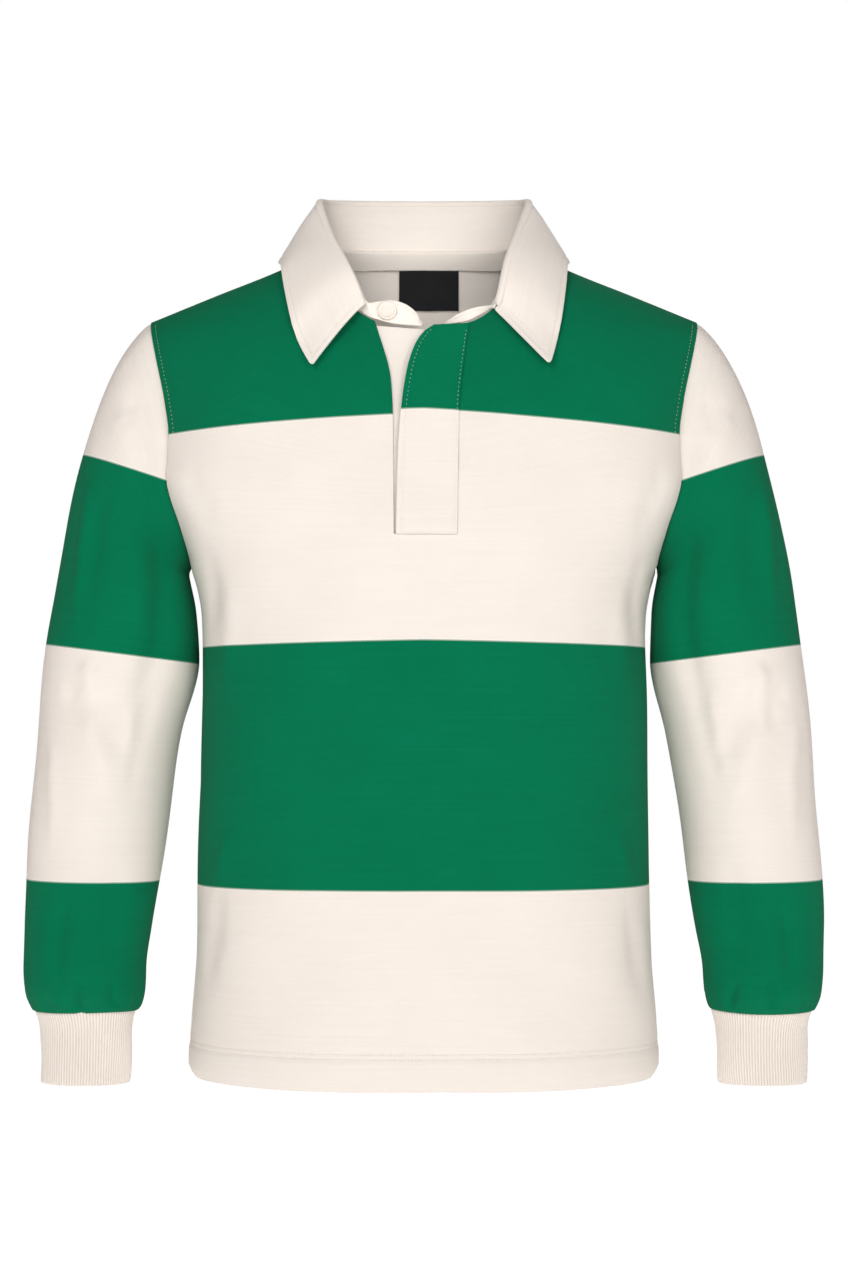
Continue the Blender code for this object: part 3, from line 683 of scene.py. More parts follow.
# ---------------------------------------------------------------- hoops
@dataclass
class Hoops:
    """Where the yarn changes colour, as heights on the body and planes across a sleeve."""

    body_borders: tuple[float, ...] = (-0.1540, -0.3417, -0.5504)
    sleeve_borders: tuple[float, ...] = (-0.1910, -0.3525, -0.5475)
    sag: Table = (                       # z, drop from the centre to the side seam
        (-0.550, 0.0009), (-0.342, 0.0048), (-0.152, 0.0112))
    lap_lift: float = 0.0036             # the wearer's left front is sewn this much higher
    tilt: Table = (                      # centre height, slope across the sleeve
        (-0.600, 0.000), (-0.553, 0.009), (-0.3485, 0.130), (-0.191, 0.338), (-0.060, 0.480))
    sleeve_middle: Table = (             # centre height, x
        (-0.600, 0.291), (-0.553, 0.288), (-0.3485, 0.2635), (-0.191, 0.2595), (-0.060, 0.250))

    def on_body(self, x: Array, z: Array, left_front: bool = False) -> Array:
        """Hoop height of points of the body."""
        height = z + Curve.column(self.sag, 1)(z) * (np.abs(x) / 0.2) ** 1.25
        if left_front:
            near = np.clip(1 - np.maximum(x, 0) / 0.2, 0, 1) * ease((z + 0.30) / 0.12)
            height = height - self.lap_lift * near
        return height

    def on_sleeve(self, points: Array) -> Array:
        """Hoop height of points of a sleeve."""
        slope, middle = Curve.column(self.tilt, 1), Curve.column(self.sleeve_middle, 1)
        reach, z = np.abs(points[..., 0]), points[..., 2]
        height = z.copy()
        for _ in range(8):
            height = 0.5 * height + 0.5 * (z - slope(height) * (reach - middle(height)))
        return height


# ---------------------------------------------------------------- front and back
@dataclass
class BodyPanels:
    """The front, with the placket's slit, and the back."""

    form: BodyForm
    hoops: Hoops
    jersey: float = 0.0016
    neck_steps: int = 40                 # columns across each half of the neck
    shoulder_steps: int = 30             # columns along each shoulder
    level_step: float = 0.0065
    fan_rows: int = 46                   # rows from the slit's foot to the neck and shoulders
    hem_top: float = -0.6890
    hem_stitches: tuple[float, float] = (-0.6890, -0.6850)
    lap_backing: float = 0.004
    slit_right: Table = (                # z, x
        (-0.2545, -0.0250), (-0.2000, -0.0255), (-0.1530, -0.0260), (-0.1260, -0.0275),
        (-0.0745, -0.0410))
    lap_edge: Table = (                  # z, x
        (-0.2545, -0.0230), (-0.1850, -0.0215), (-0.1500, -0.0190), (-0.1210, -0.0147),
        (-0.0985, -0.0080), (-0.0860, 0.0000), (-0.0790, 0.0100))
    front_creases: tuple[Crease, ...] = (
        Crease(((-0.186, -0.262), (-0.178, -0.300), (-0.181, -0.345)), FRONT, 0.0110, -0.0022),
        Crease(((-0.166, -0.285), (-0.163, -0.330), (-0.172, -0.392)), FRONT, 0.0120, 0.0024),
        Crease(((0.187, -0.268), (0.179, -0.308), (0.183, -0.352)), FRONT, 0.0110, -0.0020),
        Crease(((0.168, -0.292), (0.166, -0.335), (0.176, -0.400)), FRONT, 0.0115, 0.0021),
        Crease(((-0.179, -0.549), (-0.170, -0.526), (-0.162, -0.498)), FRONT, 0.0080, 0.0027),
        Crease(((0.178, -0.546), (0.169, -0.522), (0.160, -0.492)), FRONT, 0.0085, 0.0025),
        Crease(((-0.186, -0.640), (-0.176, -0.585), (-0.171, -0.540)), FRONT, 0.0120, -0.0024),
        Crease(((0.187, -0.652), (0.178, -0.600), (0.170, -0.545)), FRONT, 0.0125, -0.0025),
        Crease(((-0.205, -0.190), (-0.188, -0.222), (-0.170, -0.246)), FRONT, 0.0100, -0.0021),
        Crease(((0.206, -0.186), (0.190, -0.226), (0.174, -0.252)), FRONT, 0.0100, -0.0021),
        Crease(((0.060, -0.300), (0.085, -0.420), (0.078, -0.560)), FRONT, 0.0300, -0.0018),
        Crease(((-0.070, -0.330), (-0.088, -0.440), (-0.080, -0.590)), FRONT, 0.0300, -0.0018),
        Crease(((-0.035, -0.100), (-0.090, -0.092), (-0.140, -0.082)), FRONT, 0.0120, 0.0012),
        Crease(((0.045, -0.104), (0.100, -0.093), (0.150, -0.084)), FRONT, 0.0120, 0.0012))
    back_creases: tuple[Crease, ...] = (
        Crease(((-0.185, -0.270), (-0.165, -0.315), (-0.168, -0.370)), BACK, 0.0110, -0.0045),
        Crease(((0.186, -0.266), (0.168, -0.320), (0.173, -0.385)), BACK, 0.0105, -0.0042),
        Crease(((-0.150, -0.250), (-0.110, -0.330), (-0.100, -0.420)), BACK, 0.0180, 0.0027),
        Crease(((0.152, -0.262), (0.118, -0.345), (0.104, -0.450)), BACK, 0.0190, 0.0025),
        Crease(((-0.120, -0.480), (-0.040, -0.500), (0.050, -0.492)), BACK, 0.0160, -0.0024),
        Crease(((0.130, -0.540), (0.060, -0.560), (-0.020, -0.552)), BACK, 0.0170, -0.0019),
        Crease(((-0.180, -0.560), (-0.168, -0.600), (-0.174, -0.655)), BACK, 0.0110, -0.0030),
        Crease(((0.182, -0.555), (0.172, -0.598), (0.178, -0.660)), BACK, 0.0110, -0.0027),
        Crease(((0.000, -0.050), (0.006, -0.150), (-0.004, -0.270)), BACK, 0.0350, -0.0018))

    def levels(self) -> Array:
        """Heights of the rows from the hem to the slit's foot."""
        hem = [-0.7160, -0.7150, -0.7120, -0.7060, -0.6990, -0.6935, -0.6910, -0.6900, -0.6890,
               -0.6880, -0.6870, -0.6860, -0.6850, -0.6840, -0.6825, -0.6790]
        count = int((self.form.slit_foot - hem[-1]) / self.level_step)
        return np.array(hem + list(np.linspace(hem[-1], self.form.slit_foot, count + 1)[1:]))

    def _half(self, inner: Callable[[Array], Array], top: Array) -> tuple[Array, Array]:
        """Columns of one half panel, from the slit or centre out to its edge.

        Args:
            inner: The inner edge's x at a height.
            top: Upper edge, an (x, z) for each column.

        Returns:
            x and z of each point.
        """
        count = len(top) - 1
        shares = np.sin(np.arange(count + 1) / count * pi / 2)
        levels = self.levels()
        near, far = inner(levels), self.form.edge_x(levels)
        xs = [a + (b - a) * shares for a, b in zip(near, far)]
        zs = [np.full(count + 1, z) for z in levels]
        base, reach = levels[-1], (top[:, 0] - top[0, 0]) / (top[-1, 0] - top[0, 0])
        for r in range(1, self.fan_rows + 1):
            lift = sin(r / self.fan_rows * pi / 2)
            z = base + (top[:, 1] - base) * lift
            blend = lift ** 1.5
            share = shares * (1 - blend) + reach * blend
            a, b = float(inner(z[0])), float(self.form.edge_x(z[-1]))
            xs.append(a + (b - a) * share)
            zs.append(z)
        xs[-1] = top[:, 0]
        return np.array(xs), np.array(zs)

    def _top(self, neck: Table, start: float) -> Array:
        """Upper edge of a half panel: the neck seam, then the shoulder seam."""
        rows = sorted((x, z) for x, z in neck)
        curve = [(start, float(Curve.column(rows, 1)(start)))]
        curve += [r for r in rows if r[0] > start + 0.004]
        seam = along(curve, np.arange(self.neck_steps + 1) / self.neck_steps)
        x = np.linspace(rows[-1][0], self.form.armhole[0][1], self.shoulder_steps + 1)[1:]
        return np.vstack([seam, np.stack([x, self.form.ridges[FRONT](x)], axis=-1)])

    def __post_init__(self) -> None:
        """Keep each side's creases and, once built, its plain points."""
        self.creases = {FRONT: self.front_creases, BACK: self.back_creases}
        self.base: dict[int, Array] = {}

    def laid(self, side: int, x: Array, z: Array) -> tuple[Array, Array]:
        """Points and outward directions of a panel, with its creases, hem and softness.

        Args:
            side: FRONT or BACK.
            x: Places across the panel.
            z: Their heights.

        Returns:
            Points and unit vectors.
        """
        points, out = self.form.surface(side, x, z), self.form.normal(side, x, z)
        self.base.setdefault(side, points)
        offset = crease_offset(points, self.creases[side], self.base[side])
        for height in self.hem_stitches:
            offset -= 0.00045 * np.exp(-((z - height) / 0.0010) ** 2)
        offset += 0.0005 * ease((self.hem_top - z) / 0.004) * ease((z + 0.7165) / 0.006)
        wave = (np.sin(x * 31 + 1.3 * side) * np.sin(z * 23 + x * 9) * 0.0008
                + np.sin(x * 63 - z * 41 + side) * 0.00035)
        hem_sway = 0.0016 * np.sin(x * 38 + 2.1 * side) * ease((-0.62 - z) / 0.09)
        top = np.minimum(self.form.ridges[side](np.abs(x)) - z, 0.05) / 0.05
        rim = np.clip((self.form.edge_x(z) - np.abs(x)) / 0.02, 0, 1) * (z > self.form.armpit)
        rim += z <= self.form.armpit
        offset += (wave + hem_sway) * ease(top)
        if side == FRONT:
            offset *= 1 - ease((0.080 - np.abs(x - 0.002)) / 0.030) * ease((z + 0.290) / 0.030)
        return points + out * (offset * ease(rim))[..., None], out

    def front(self, finish: bpy.types.Material) -> bpy.types.Object:
        """The front panel."""
        lap, right = Curve.column(self.lap_edge, 1), Curve.column(self.slit_right, 1)
        top_z = [row[1] for row in self.form.neck_front]
        left_x, left_z = self._half(lambda z: lap(z) + self.lap_backing, self._top(
            self.form.neck_front, float(lap(top_z[0])) + self.lap_backing))
        right_x, right_z = self._half(lambda z: -right(z), self._top(
            self.form.neck_front, -float(right(top_z[3]))))
        x = np.hstack([-right_x[:, ::-1], left_x])
        z = np.hstack([right_z[:, ::-1], left_z])
        points, out = self.laid(FRONT, x, z)
        middle, foot = right_x.shape[1] - 1, len(self.levels()) - 1
        own = np.zeros_like(x, bool)
        own[:, middle + 1:] = True
        hoop = np.where(own, self.hoops.on_body(x, z, left_front=True), self.hoops.on_body(x, z))
        return Cloth("front_panel", points, self.jersey, finish, out=out, numbers={"hoop": hoop},
                     gaps=lambda r, c: c == middle and r >= foot, full_from=8).build()

    def back(self, finish: bpy.types.Material) -> bpy.types.Object:
        """The back panel."""
        half_x, half_z = self._half(lambda z: np.zeros_like(np.asarray(z, float)),
                                    self._top(self.form.neck_back, 0.0))
        x = np.hstack([-half_x[:, :0:-1], half_x])
        z = np.hstack([half_z[:, :0:-1], half_z])
        points, out = self.laid(BACK, x, z)
        return Cloth("back_panel", points, self.jersey, finish, out=out,
                     numbers={"hoop": self.hoops.on_body(x, z)}, full_from=8).build()

    def hem_lines(self, side: int) -> list[tuple[Array, Array]]:
        """The hem's two rows of stitches on one panel."""
        lines = []
        for height in self.hem_stitches:
            reach = float(self.form.edge_x(height)) - 0.0008
            x = reach * np.sin(np.linspace(-pi / 2, pi / 2, 260))
            points, out = self.laid(side, x, np.full_like(x, height))
            lines.append((points + out * 0.0001, out))
        return lines

    def armhole_lines(self, side: int, inset: float = 0.0046) -> list[tuple[Array, Array]]:
        """The row of stitches beside each armhole on one panel."""
        z = np.linspace(-0.0655, -0.262, 120)
        x = self.form.armhole_x(z) - inset
        lines = []
        for hand in (RIGHT, LEFT):
            points, out = self.laid(side, x * hand, z)
            lines.append((points + out * 0.0001, out))
        return lines


# ---------------------------------------------------------------- sleeves and cuffs
@dataclass
class Sleeve:
    """One set-in sleeve, pouched over its cuff."""

    form: BodyForm
    hoops: Hoops
    hand: int
    jersey: float = 0.0016
    sides: int = 132
    cap_rows: int = 30
    arm_rows: int = 92
    sections: Table = (                  # outer x, outer z, inner x, inner z, half depth, middle y
        (0.3120, -0.2400, 0.2050, -0.2840, 0.0600, 0.000),
        (0.3222, -0.2930, 0.1990, -0.3160, 0.0600, 0.000),
        (0.3293, -0.3400, 0.1972, -0.3560, 0.0580, -0.001),
        (0.3362, -0.4095, 0.2115, -0.4200, 0.0550, -0.002),
        (0.3410, -0.4700, 0.2200, -0.4760, 0.0520, -0.003),
        (0.3453, -0.5350, 0.2287, -0.5370, 0.0475, -0.005),
        (0.3478, -0.5900, 0.2365, -0.5900, 0.0455, -0.006),
        (0.3476, -0.6225, 0.2415, -0.6225, 0.0440, -0.007),
        (0.3459, -0.6415, 0.2424, -0.6415, 0.0425, -0.008),
        (0.3428, -0.6545, 0.2447, -0.6545, 0.0380, -0.008),
        (0.3390, -0.6604, 0.2487, -0.6604, 0.0320, -0.008),
        (0.3340, -0.6614, 0.2535, -0.6614, 0.0270, -0.008))
    start: Table = (                     # angle, out, forward, up: how the cap leaves the armhole
        (0, 0.766, 0.00, -0.643), (45, 0.80, 0.15, -0.58), (90, 0.80, 0.28, -0.53),
        (135, 0.45, 0.25, -0.85), (180, 0.05, 0.00, -1.00))
    start_pull: float = 0.83
    end_pull: float = 1.03
    seam_sink: float = 0.0012            # depth of the armhole seam's groove
    gathers: int = 34
    creases: tuple[Crease, ...] = (      # as on the wearer's left
        Crease(((0.2585, -0.128), (0.2440, -0.147), (0.2335, -0.170), (0.2225, -0.202)), FRONT,
               0.0075, -0.0032, 0.25, 0.35),
        Crease(((0.2700, -0.140), (0.2560, -0.163), (0.2440, -0.192)), FRONT, 0.0080, 0.0029),
        Crease(((0.2900, -0.187), (0.2945, -0.248), (0.3015, -0.338)), FRONT, 0.0075, 0.0034),
        Crease(((0.2745, -0.200), (0.2780, -0.262), (0.2850, -0.330)), FRONT, 0.0090, -0.0026),
        Crease(((0.2330, -0.215), (0.2270, -0.260), (0.2230, -0.300), (0.2240, -0.335),
                (0.2310, -0.372), (0.2440, -0.420), (0.2560, -0.500)), FRONT, 0.0120, -0.0052,
               0.25, 0.55),
        Crease(((0.2520, -0.235), (0.2450, -0.285), (0.2420, -0.340)), FRONT, 0.0120, 0.0026),
        Crease(((0.2310, -0.372), (0.2480, -0.410), (0.2560, -0.470)), FRONT, 0.0100, 0.0035),
        Crease(((0.2905, -0.356), (0.2840, -0.383), (0.2680, -0.402)), FRONT, 0.0068, 0.0038),
        Crease(((0.3080, -0.372), (0.3000, -0.398), (0.2860, -0.420)), FRONT, 0.0075, -0.0029),
        Crease(((0.3230, -0.400), (0.3150, -0.455), (0.3180, -0.525)), FRONT, 0.0085, 0.0022),
        Crease(((0.2600, -0.520), (0.2700, -0.575), (0.2660, -0.640)), FRONT, 0.0100, -0.0026),
        Crease(((0.3050, -0.560), (0.3110, -0.610), (0.3070, -0.655)), FRONT, 0.0075, -0.0035),
        Crease(((0.2580, -0.660), (0.2640, -0.647), (0.2660, -0.630)), FRONT, 0.0040, -0.0048),
        Crease(((0.2940, -0.662), (0.2980, -0.645), (0.2960, -0.618)), FRONT, 0.0045, -0.0045),
        Crease(((0.2880, -0.372), (0.2660, -0.412), (0.2440, -0.462)), FRONT, 0.0105, -0.0040),
        Crease(((0.2980, -0.398), (0.2780, -0.440), (0.2590, -0.490)), FRONT, 0.0110, 0.0026),
        Crease(((0.2540, -0.140), (0.2380, -0.165), (0.2260, -0.206)), BACK, 0.0080, -0.0048),
        Crease(((0.2860, -0.190), (0.2900, -0.252), (0.2980, -0.330)), BACK, 0.0090, 0.0032),
        Crease(((0.2370, -0.240), (0.2210, -0.300), (0.2150, -0.345), (0.2250, -0.400)), BACK,
               0.0100, -0.0048),
        Crease(((0.2950, -0.350), (0.2780, -0.380), (0.2540, -0.392)), BACK, 0.0085, -0.0054),
        Crease(((0.3080, -0.390), (0.2860, -0.420), (0.2600, -0.430)), BACK, 0.0085, 0.0042),
        Crease(((0.2500, -0.440), (0.2660, -0.500), (0.2700, -0.580)), BACK, 0.0110, -0.0035),
        Crease(((0.3000, -0.560), (0.3060, -0.610), (0.3020, -0.655)), BACK, 0.0080, -0.0035))

    def _armhole(self, angles: Array, out: float, sink: float) -> Array:
        """Armhole seam at each angle, moved out along the arm and sunk into the seam."""
        front, back = (self.form.armhole_path(side) for side in (FRONT, BACK))
        turn = angles / pi
        ring = np.where((turn <= 1)[:, None], along(front, np.minimum(turn, 1)),
                        along(back, 2 - np.maximum(turn, 1)))
        middle = ring.mean(axis=0)
        inward = unit((middle - ring) * np.array([0.0, 1.0, 1.0]))
        return ring + np.array([out, 0, 0]) + sink * inward

    def points(self) -> Array:
        """Rows of points of the wearer's left sleeve, from the armhole to the cuff."""
        angles = 2 * pi * np.arange(self.sides) / self.sides
        rings = []
        for outer_x, outer_z, inner_x, inner_z, half_depth, middle_y in self.sections:
            outer = np.array([outer_x, middle_y, outer_z])
            inner = np.array([inner_x, middle_y, inner_z])
            flat = np.cos(angles)[:, None] * (outer - inner) / 2
            rings.append((outer + inner) / 2 + flat
                         - np.sin(angles)[:, None] * np.array([0, half_depth, 0]))
        rings = np.array(rings)

        seam = self._armhole(angles, 0.0004, 0.0)
        degrees = np.degrees(np.minimum(angles, 2 * pi - angles))
        leave = np.stack([Curve.column(self.start, k)(degrees) for k in (1, 2, 3)], axis=-1)
        leave[:, 1] *= np.where(angles < pi, -1, 1)
        leave = unit(leave)
        arrive = unit(rings[1] - rings[0])
        span = np.linalg.norm(rings[0] - seam, axis=1)[:, None]
        rows = [self._armhole(angles, -0.0030, 0.0030)]
        for t in spread(1.0, (0, 0.008, 0.02, 0.04, 0.07), self.cap_rows, both=False)[::-1]:
            t = 1 - t
            row = ((2 * t ** 3 - 3 * t ** 2 + 1) * seam + (3 * t ** 2 - 2 * t ** 3) * rings[0]
                   + (t ** 3 - 2 * t ** 2 + t) * span * self.start_pull * leave
                   + (t ** 3 - t ** 2) * span * self.end_pull * arrive)
            sink = self.seam_sink * float(np.exp(-(t / 0.022) ** 2))
            inward = unit((seam.mean(axis=0) - seam) * np.array([0.0, 1.0, 1.0]))
            rows.append(row + sink * inward)
        middles = rings.mean(axis=1)
        run = np.concatenate([[0], np.cumsum(np.linalg.norm(np.diff(middles, axis=0), axis=1))])
        total = run[-1]
        steps = spread(total, (0, 0.0006, 0.0014, 0.0030, 0.0050, 0.0080, 0.0120, 0.0170, 0.0230),
                       self.arm_rows, both=False)
        rows += list(Curve(run, rings)(steps[1:] * total))
        return np.array(rows)

    def _gathers(self, points: Array) -> Array:
        """Small uneven gathers where the sleeve is sewn to its cuff."""
        rng = np.random.default_rng(11 if self.hand == LEFT else 23)
        angle = np.arctan2(-(points[..., 1] + 0.008), points[..., 0] - 0.294)
        up = points[..., 2] + 0.6610
        total = np.zeros(points.shape[:2])
        for k in range(self.gathers):
            centre = 2 * pi * (k + rng.uniform(-0.3, 0.3)) / self.gathers
            width, reach = rng.uniform(0.06, 0.11), rng.uniform(0.010, 0.034)
            depth = rng.uniform(0.0009, 0.0028)
            away = (angle - centre - 0.25 * up / reach * width + pi) % (2 * pi) - pi
            rise = ease(up / 0.004) * ease(1 - up / reach)
            total -= depth * rise * np.exp(-(away / width) ** 2)
        return total

    def build(self, finish: bpy.types.Material) -> bpy.types.Object:
        """The sleeve."""
        points = self.points()
        out = grid_normals(points, closed=True)
        if float(np.sum(out * (points - points.mean(axis=1, keepdims=True)))) < 0:
            out = -out
        own = [c if self.hand == LEFT else Crease(
            tuple((x + 0.0022 * sin(k * 2.3), z + 0.0065 * cos(k * 1.7)) for x, z in c.path),
            c.side, c.width * (1 + 0.12 * sin(k * 1.9)),
            c.height * (1 + 0.16 * cos(k * 2.9)), c.head, c.tail)
            for k, c in enumerate(self.creases)]
        offset = crease_offset(points, own) + self._gathers(points)
        rows = np.arange(len(points))[:, None]
        offset = offset * ease((rows - 2) / 12) * ease((len(points) - 1 - rows) / 2)
        angle = np.arctan2(points[..., 1], points[..., 0] - 0.27)
        waver = np.sin(points[..., 2] * 44 + 2 * angle + self.hand)
        offset += 0.0007 * waver * ease((rows - 8) / 20)
        points = points + out * offset[..., None]
        hoop = self.hoops.on_sleeve(points)
        flip = np.array([self.hand, 1, 1])
        name = "sleeve_left_cloth" if self.hand == LEFT else "sleeve_right_cloth"
        return Cloth(name, points * flip, self.jersey, finish, closed=True, out=out * flip,
                     numbers={"hoop": hoop}).build()


@dataclass
class Cuff:
    """One ribbed cuff, folded double at its lower edge."""

    hand: int
    rib: float = 0.0022
    ribs: int = 96
    rib_depth: float = 0.00042
    columns_per_rib: int = 6
    middle_y: float = -0.008
    profile: Table = (                   # z, outer x, inner x, half depth
        (-0.6542, 0.3345, 0.2530, 0.0262), (-0.6608, 0.3374, 0.2501, 0.0288),
        (-0.6665, 0.3352, 0.2515, 0.0264), (-0.6760, 0.3330, 0.2530, 0.0240),
        (-0.7000, 0.3325, 0.2540, 0.0230), (-0.7200, 0.3329, 0.2548, 0.0230),
        (-0.7232, 0.3324, 0.2556, 0.0226), (-0.7238, 0.3312, 0.2568, 0.0214))

    def build(self, finish: bpy.types.Material) -> bpy.types.Object:
        """The cuff."""
        sides = self.ribs * self.columns_per_rib
        angles = 2 * pi * np.arange(sides) / sides
        heights = np.array([-0.6542, -0.6580, -0.6608, -0.6635, -0.6665, -0.6710, -0.6760, -0.6840,
                            -0.6930, -0.7000, -0.7070, -0.7140, -0.7190, -0.7220, -0.7232, -0.7238])
        outer, inner, half = (Curve.column(self.profile, k)(heights)[:, None] for k in (1, 2, 3))
        wave = np.cos(self.ribs * angles)
        drift = 0.0006 * np.sin(3 * angles + 9 * heights[:, None] * 10 + self.hand)
        x = (outer + inner) / 2 + ((outer - inner) / 2 + drift) * np.cos(angles)
        y = self.middle_y - (half + drift) * np.sin(angles)
        z = np.broadcast_to(heights[:, None], x.shape)
        points = np.stack([x * self.hand, y, z], axis=-1)
        middle = np.array([0.294 * self.hand, self.middle_y, 0])
        out = unit((points - middle) * np.array([1, 1, 0]))
        # painted shade: how deep in a rib valley each point lies, used to darken the cuff's colour
        # there
        rib_shade = np.broadcast_to(ease((1 - wave) / 2) * np.ones((len(heights), 1)), x.shape)
        name = "cuff_left_rib" if self.hand == LEFT else "cuff_right_rib"
        piece = Cloth(name, points, self.rib, finish, closed=True, out=out,
                      numbers={"rib_shade": rib_shade}).build()
        ripple = -self.rib_depth * (1 - wave) * np.ones((len(heights), 1))
        self._press_ribs(piece, points + out * ripple[..., None])
        return piece

    @staticmethod
    def _press_ribs(piece: bpy.types.Object, ribbed: Array) -> None:
        """Move the outer wall onto the ribs; the inner wall stays smooth, as it would else fold.

        Args:
            piece: The cuff, whose first vertices are its outer wall's.
            ribbed: Where they go.
        """
        places = np.empty(3 * len(piece.data.vertices), np.float32)
        piece.data.vertices.foreach_get("co", places)
        places[:ribbed.size] = ribbed.ravel()
        piece.data.vertices.foreach_set("co", places)
        piece.data.update()


# ---------------------------------------------------------------- collar
@dataclass
class Collar:
    """The stand, which meets the neck seam, and the fall that rolls over it in two points."""

    form: BodyForm
    twill: float = 0.0020
    steps: int = 62                      # columns across each half
    fold_right: Table = (                # x, y, z from the front end to the side
        (-0.0477, -0.0970, -0.0566), (-0.0590, -0.0800, -0.0290), (-0.0710, -0.0500, -0.0032),
        (-0.0830, -0.0190, 0.0290), (-0.0885, 0.0050, 0.0490))
    fold_left: Table = (
        (0.0600, -0.0995, -0.0580), (0.0614, -0.0917, -0.0430), (0.0676, -0.0668, -0.0140),
        (0.0825, -0.0225, 0.0290), (0.0890, 0.0050, 0.0490))
    fold_back: Table = (
        (0.0815, 0.0360, 0.0555), (0.0500, 0.0580, 0.0592), (0.0000, 0.0650, 0.0602))
    leaf_right: Table = (                # x, y, z from the point round to the side
        (-0.0940, -0.1170, -0.1140), (-0.1050, -0.1020, -0.0930), (-0.1120, -0.0950, -0.0720),
        (-0.1187, -0.0720, -0.0430), (-0.1235, -0.0450, -0.0180), (-0.1260, -0.0050, -0.0090))
    leaf_left: Table = (
        (0.1055, -0.1170, -0.1120), (0.1110, -0.1020, -0.0930), (0.1160, -0.0930, -0.0700),
        (0.1205, -0.0720, -0.0430), (0.1240, -0.0450, -0.0180), (0.1260, -0.0050, -0.0090))
    leaf_back: Table = (
        (0.1020, 0.0480, -0.0060), (0.0600, 0.0720, -0.0080), (0.0000, 0.0790, -0.0090))
    foot_share: Table = (                # share of the fold, share of the seam
        (0.00, 0.00), (0.11, 0.13), (0.22, 0.27), (0.33, 0.40), (0.44, 0.50), (0.55, 0.57),
        (0.66, 0.67), (1.00, 1.00))
    button_end: Table = (                # foot x, top x, y, z
        (-0.0010, -0.0008, -0.1035, -0.0768), (-0.0050, -0.0040, -0.1005, -0.0705),
        (-0.0130, -0.0110, -0.0975, -0.0630), (-0.0220, -0.0220, -0.0955, -0.0575),
        (-0.0320, -0.0340, -0.0958, -0.0568))
    open_end: Table = (
        (0.0170, 0.0185, -0.1015, -0.0745), (0.0280, 0.0290, -0.0985, -0.0685),
        (0.0420, 0.0440, -0.0975, -0.0620))
    foot_x: tuple[float, float] = (0.0410, 0.0560)   # under the right and left leaf's front end
    roll_width: float = 0.0072
    roll_drop: float = 0.0060
    fall_space: float = 0.0068           # outer face of the fall from the inner face of the stand
    leaf_space: float = 0.0046           # outer face of the leaves from the body
    leaf_swell: float = 0.0080
    corner: float = 0.0042               # the points' rounding
    stitch_in: float = 0.0055            # edge stitching, from the edge

    def __post_init__(self) -> None:
        """Work out the collar's frames."""
        self.frames = self._frames()

    def _seam(self, shares: Array, foot_x: float, hand: int) -> Array:
        """Neck seam from under a leaf's front end to the centre back."""
        neck = self.form.neck
        front = [self.form.surface(FRONT, foot_x, neck[FRONT](foot_x))]
        front += [self.form.surface(FRONT, x, z) for x, z in self.form.neck_front
                  if x > foot_x + 0.004]
        back = [self.form.surface(BACK, x, z) for x, z in self.form.neck_back[1:]]
        return along(front + back, shares) * np.array([hand, 1, 1])

    @staticmethod
    def inward(foot: Array) -> Array:
        """Level direction from the neck seam to the middle of the neck."""
        return unit(np.array([0, -0.012, 0]) * np.array([1, 1, 0]) - foot * np.array([1, 1, 0]))

    def _frames(self) -> dict[str, Array]:
        """Neck seam, fold, leaf edge and outward direction, from the right end to the left."""
        parts: dict[str, list[Array]] = {"foot": [], "fold": [], "edge": []}
        leaf_length = 0.30
        near = spread(leaf_length, (0, 0.0005, 0.0013, 0.0022, 0.0034, 0.0046, 0.0055, 0.0064, 0.0085),
                      self.steps, both=False)
        shares = np.sort(1 - near)
        for hand, fold, leaf, foot_x in ((RIGHT, self.fold_right, self.leaf_right, self.foot_x[0]),
                                         (LEFT, self.fold_left, self.leaf_left, self.foot_x[1])):
            flip = np.array([hand, 1, 1])
            halves = {
                "foot": self._seam(Curve.column(self.foot_share, 1)(shares), foot_x, hand),
                "fold": along(list(fold) + [tuple(p * flip) for p in np.array(self.fold_back)],
                              shares),
                "edge": along(list(leaf) + [tuple(p * flip) for p in np.array(self.leaf_back)],
                              shares)}
            for key, half in halves.items():
                parts[key].append(half if hand == RIGHT else half[-2::-1])
        frames = {key: np.vstack(value) for key, value in parts.items()}
        out = -self.inward(frames["foot"])
        down = unit(frames["foot"] - frames["fold"])
        run = frames["foot"] + frames["fold"]
        wide = np.vstack([run[:1], run[:1], run[:1], run, run[-1:], run[-1:], run[-1:]])
        turned = unit(np.cross(wide[6:] - wide[:-6], down))
        turned = np.where(np.sum(turned * out, axis=1, keepdims=True) > 0, turned, -turned)
        flat_end = unit(out - down * np.sum(out * down, axis=1, keepdims=True))
        place = np.linspace(0, 1, len(run))
        own = ease(np.minimum(place, 1 - place) / 0.10)[:, None]
        frames["out"] = unit(flat_end * (1 - own) + turned * own)
        frames["down"] = down
        return frames

    def stand_columns(self) -> tuple[Array, Array]:
        """Foot and top of the stand's inner face, from its button end round to its open end."""
        def end(table: Table, count: int) -> tuple[Array, Array]:
            foot_x = along([(row[0], 0.0) for row in table], np.linspace(0, 1, count))[:, 0]
            foot = self.form.surface(FRONT, foot_x, self.form.neck[FRONT](np.abs(foot_x)))
            foot = foot + self.inward(foot) * self.twill + np.array([0, 0, 0.001])
            return foot, along([row[1:] for row in table], np.linspace(0, 1, count))

        f = self.frames
        run = np.gradient(f["foot"], axis=0)
        up = f["fold"] - f["foot"]
        up = unit(up - unit(run) * np.sum(up * unit(run), axis=1, keepdims=True))
        lift = np.where(f["foot"][:, 1:2] < 0, 0.0018, 0.0008)
        foot = f["foot"] + up * lift - f["out"] * self.twill
        top = f["fold"] + f["down"] * (self.roll_drop + 0.0001)
        first, last = end(self.button_end, 14), end(self.open_end, 9)
        keep = slice(3, -3)
        feet = np.vstack([first[0], foot[keep], last[0][::-1]])
        tops = np.vstack([first[1], top[keep], last[1][::-1]])
        return self._even(feet), self._even(tops)

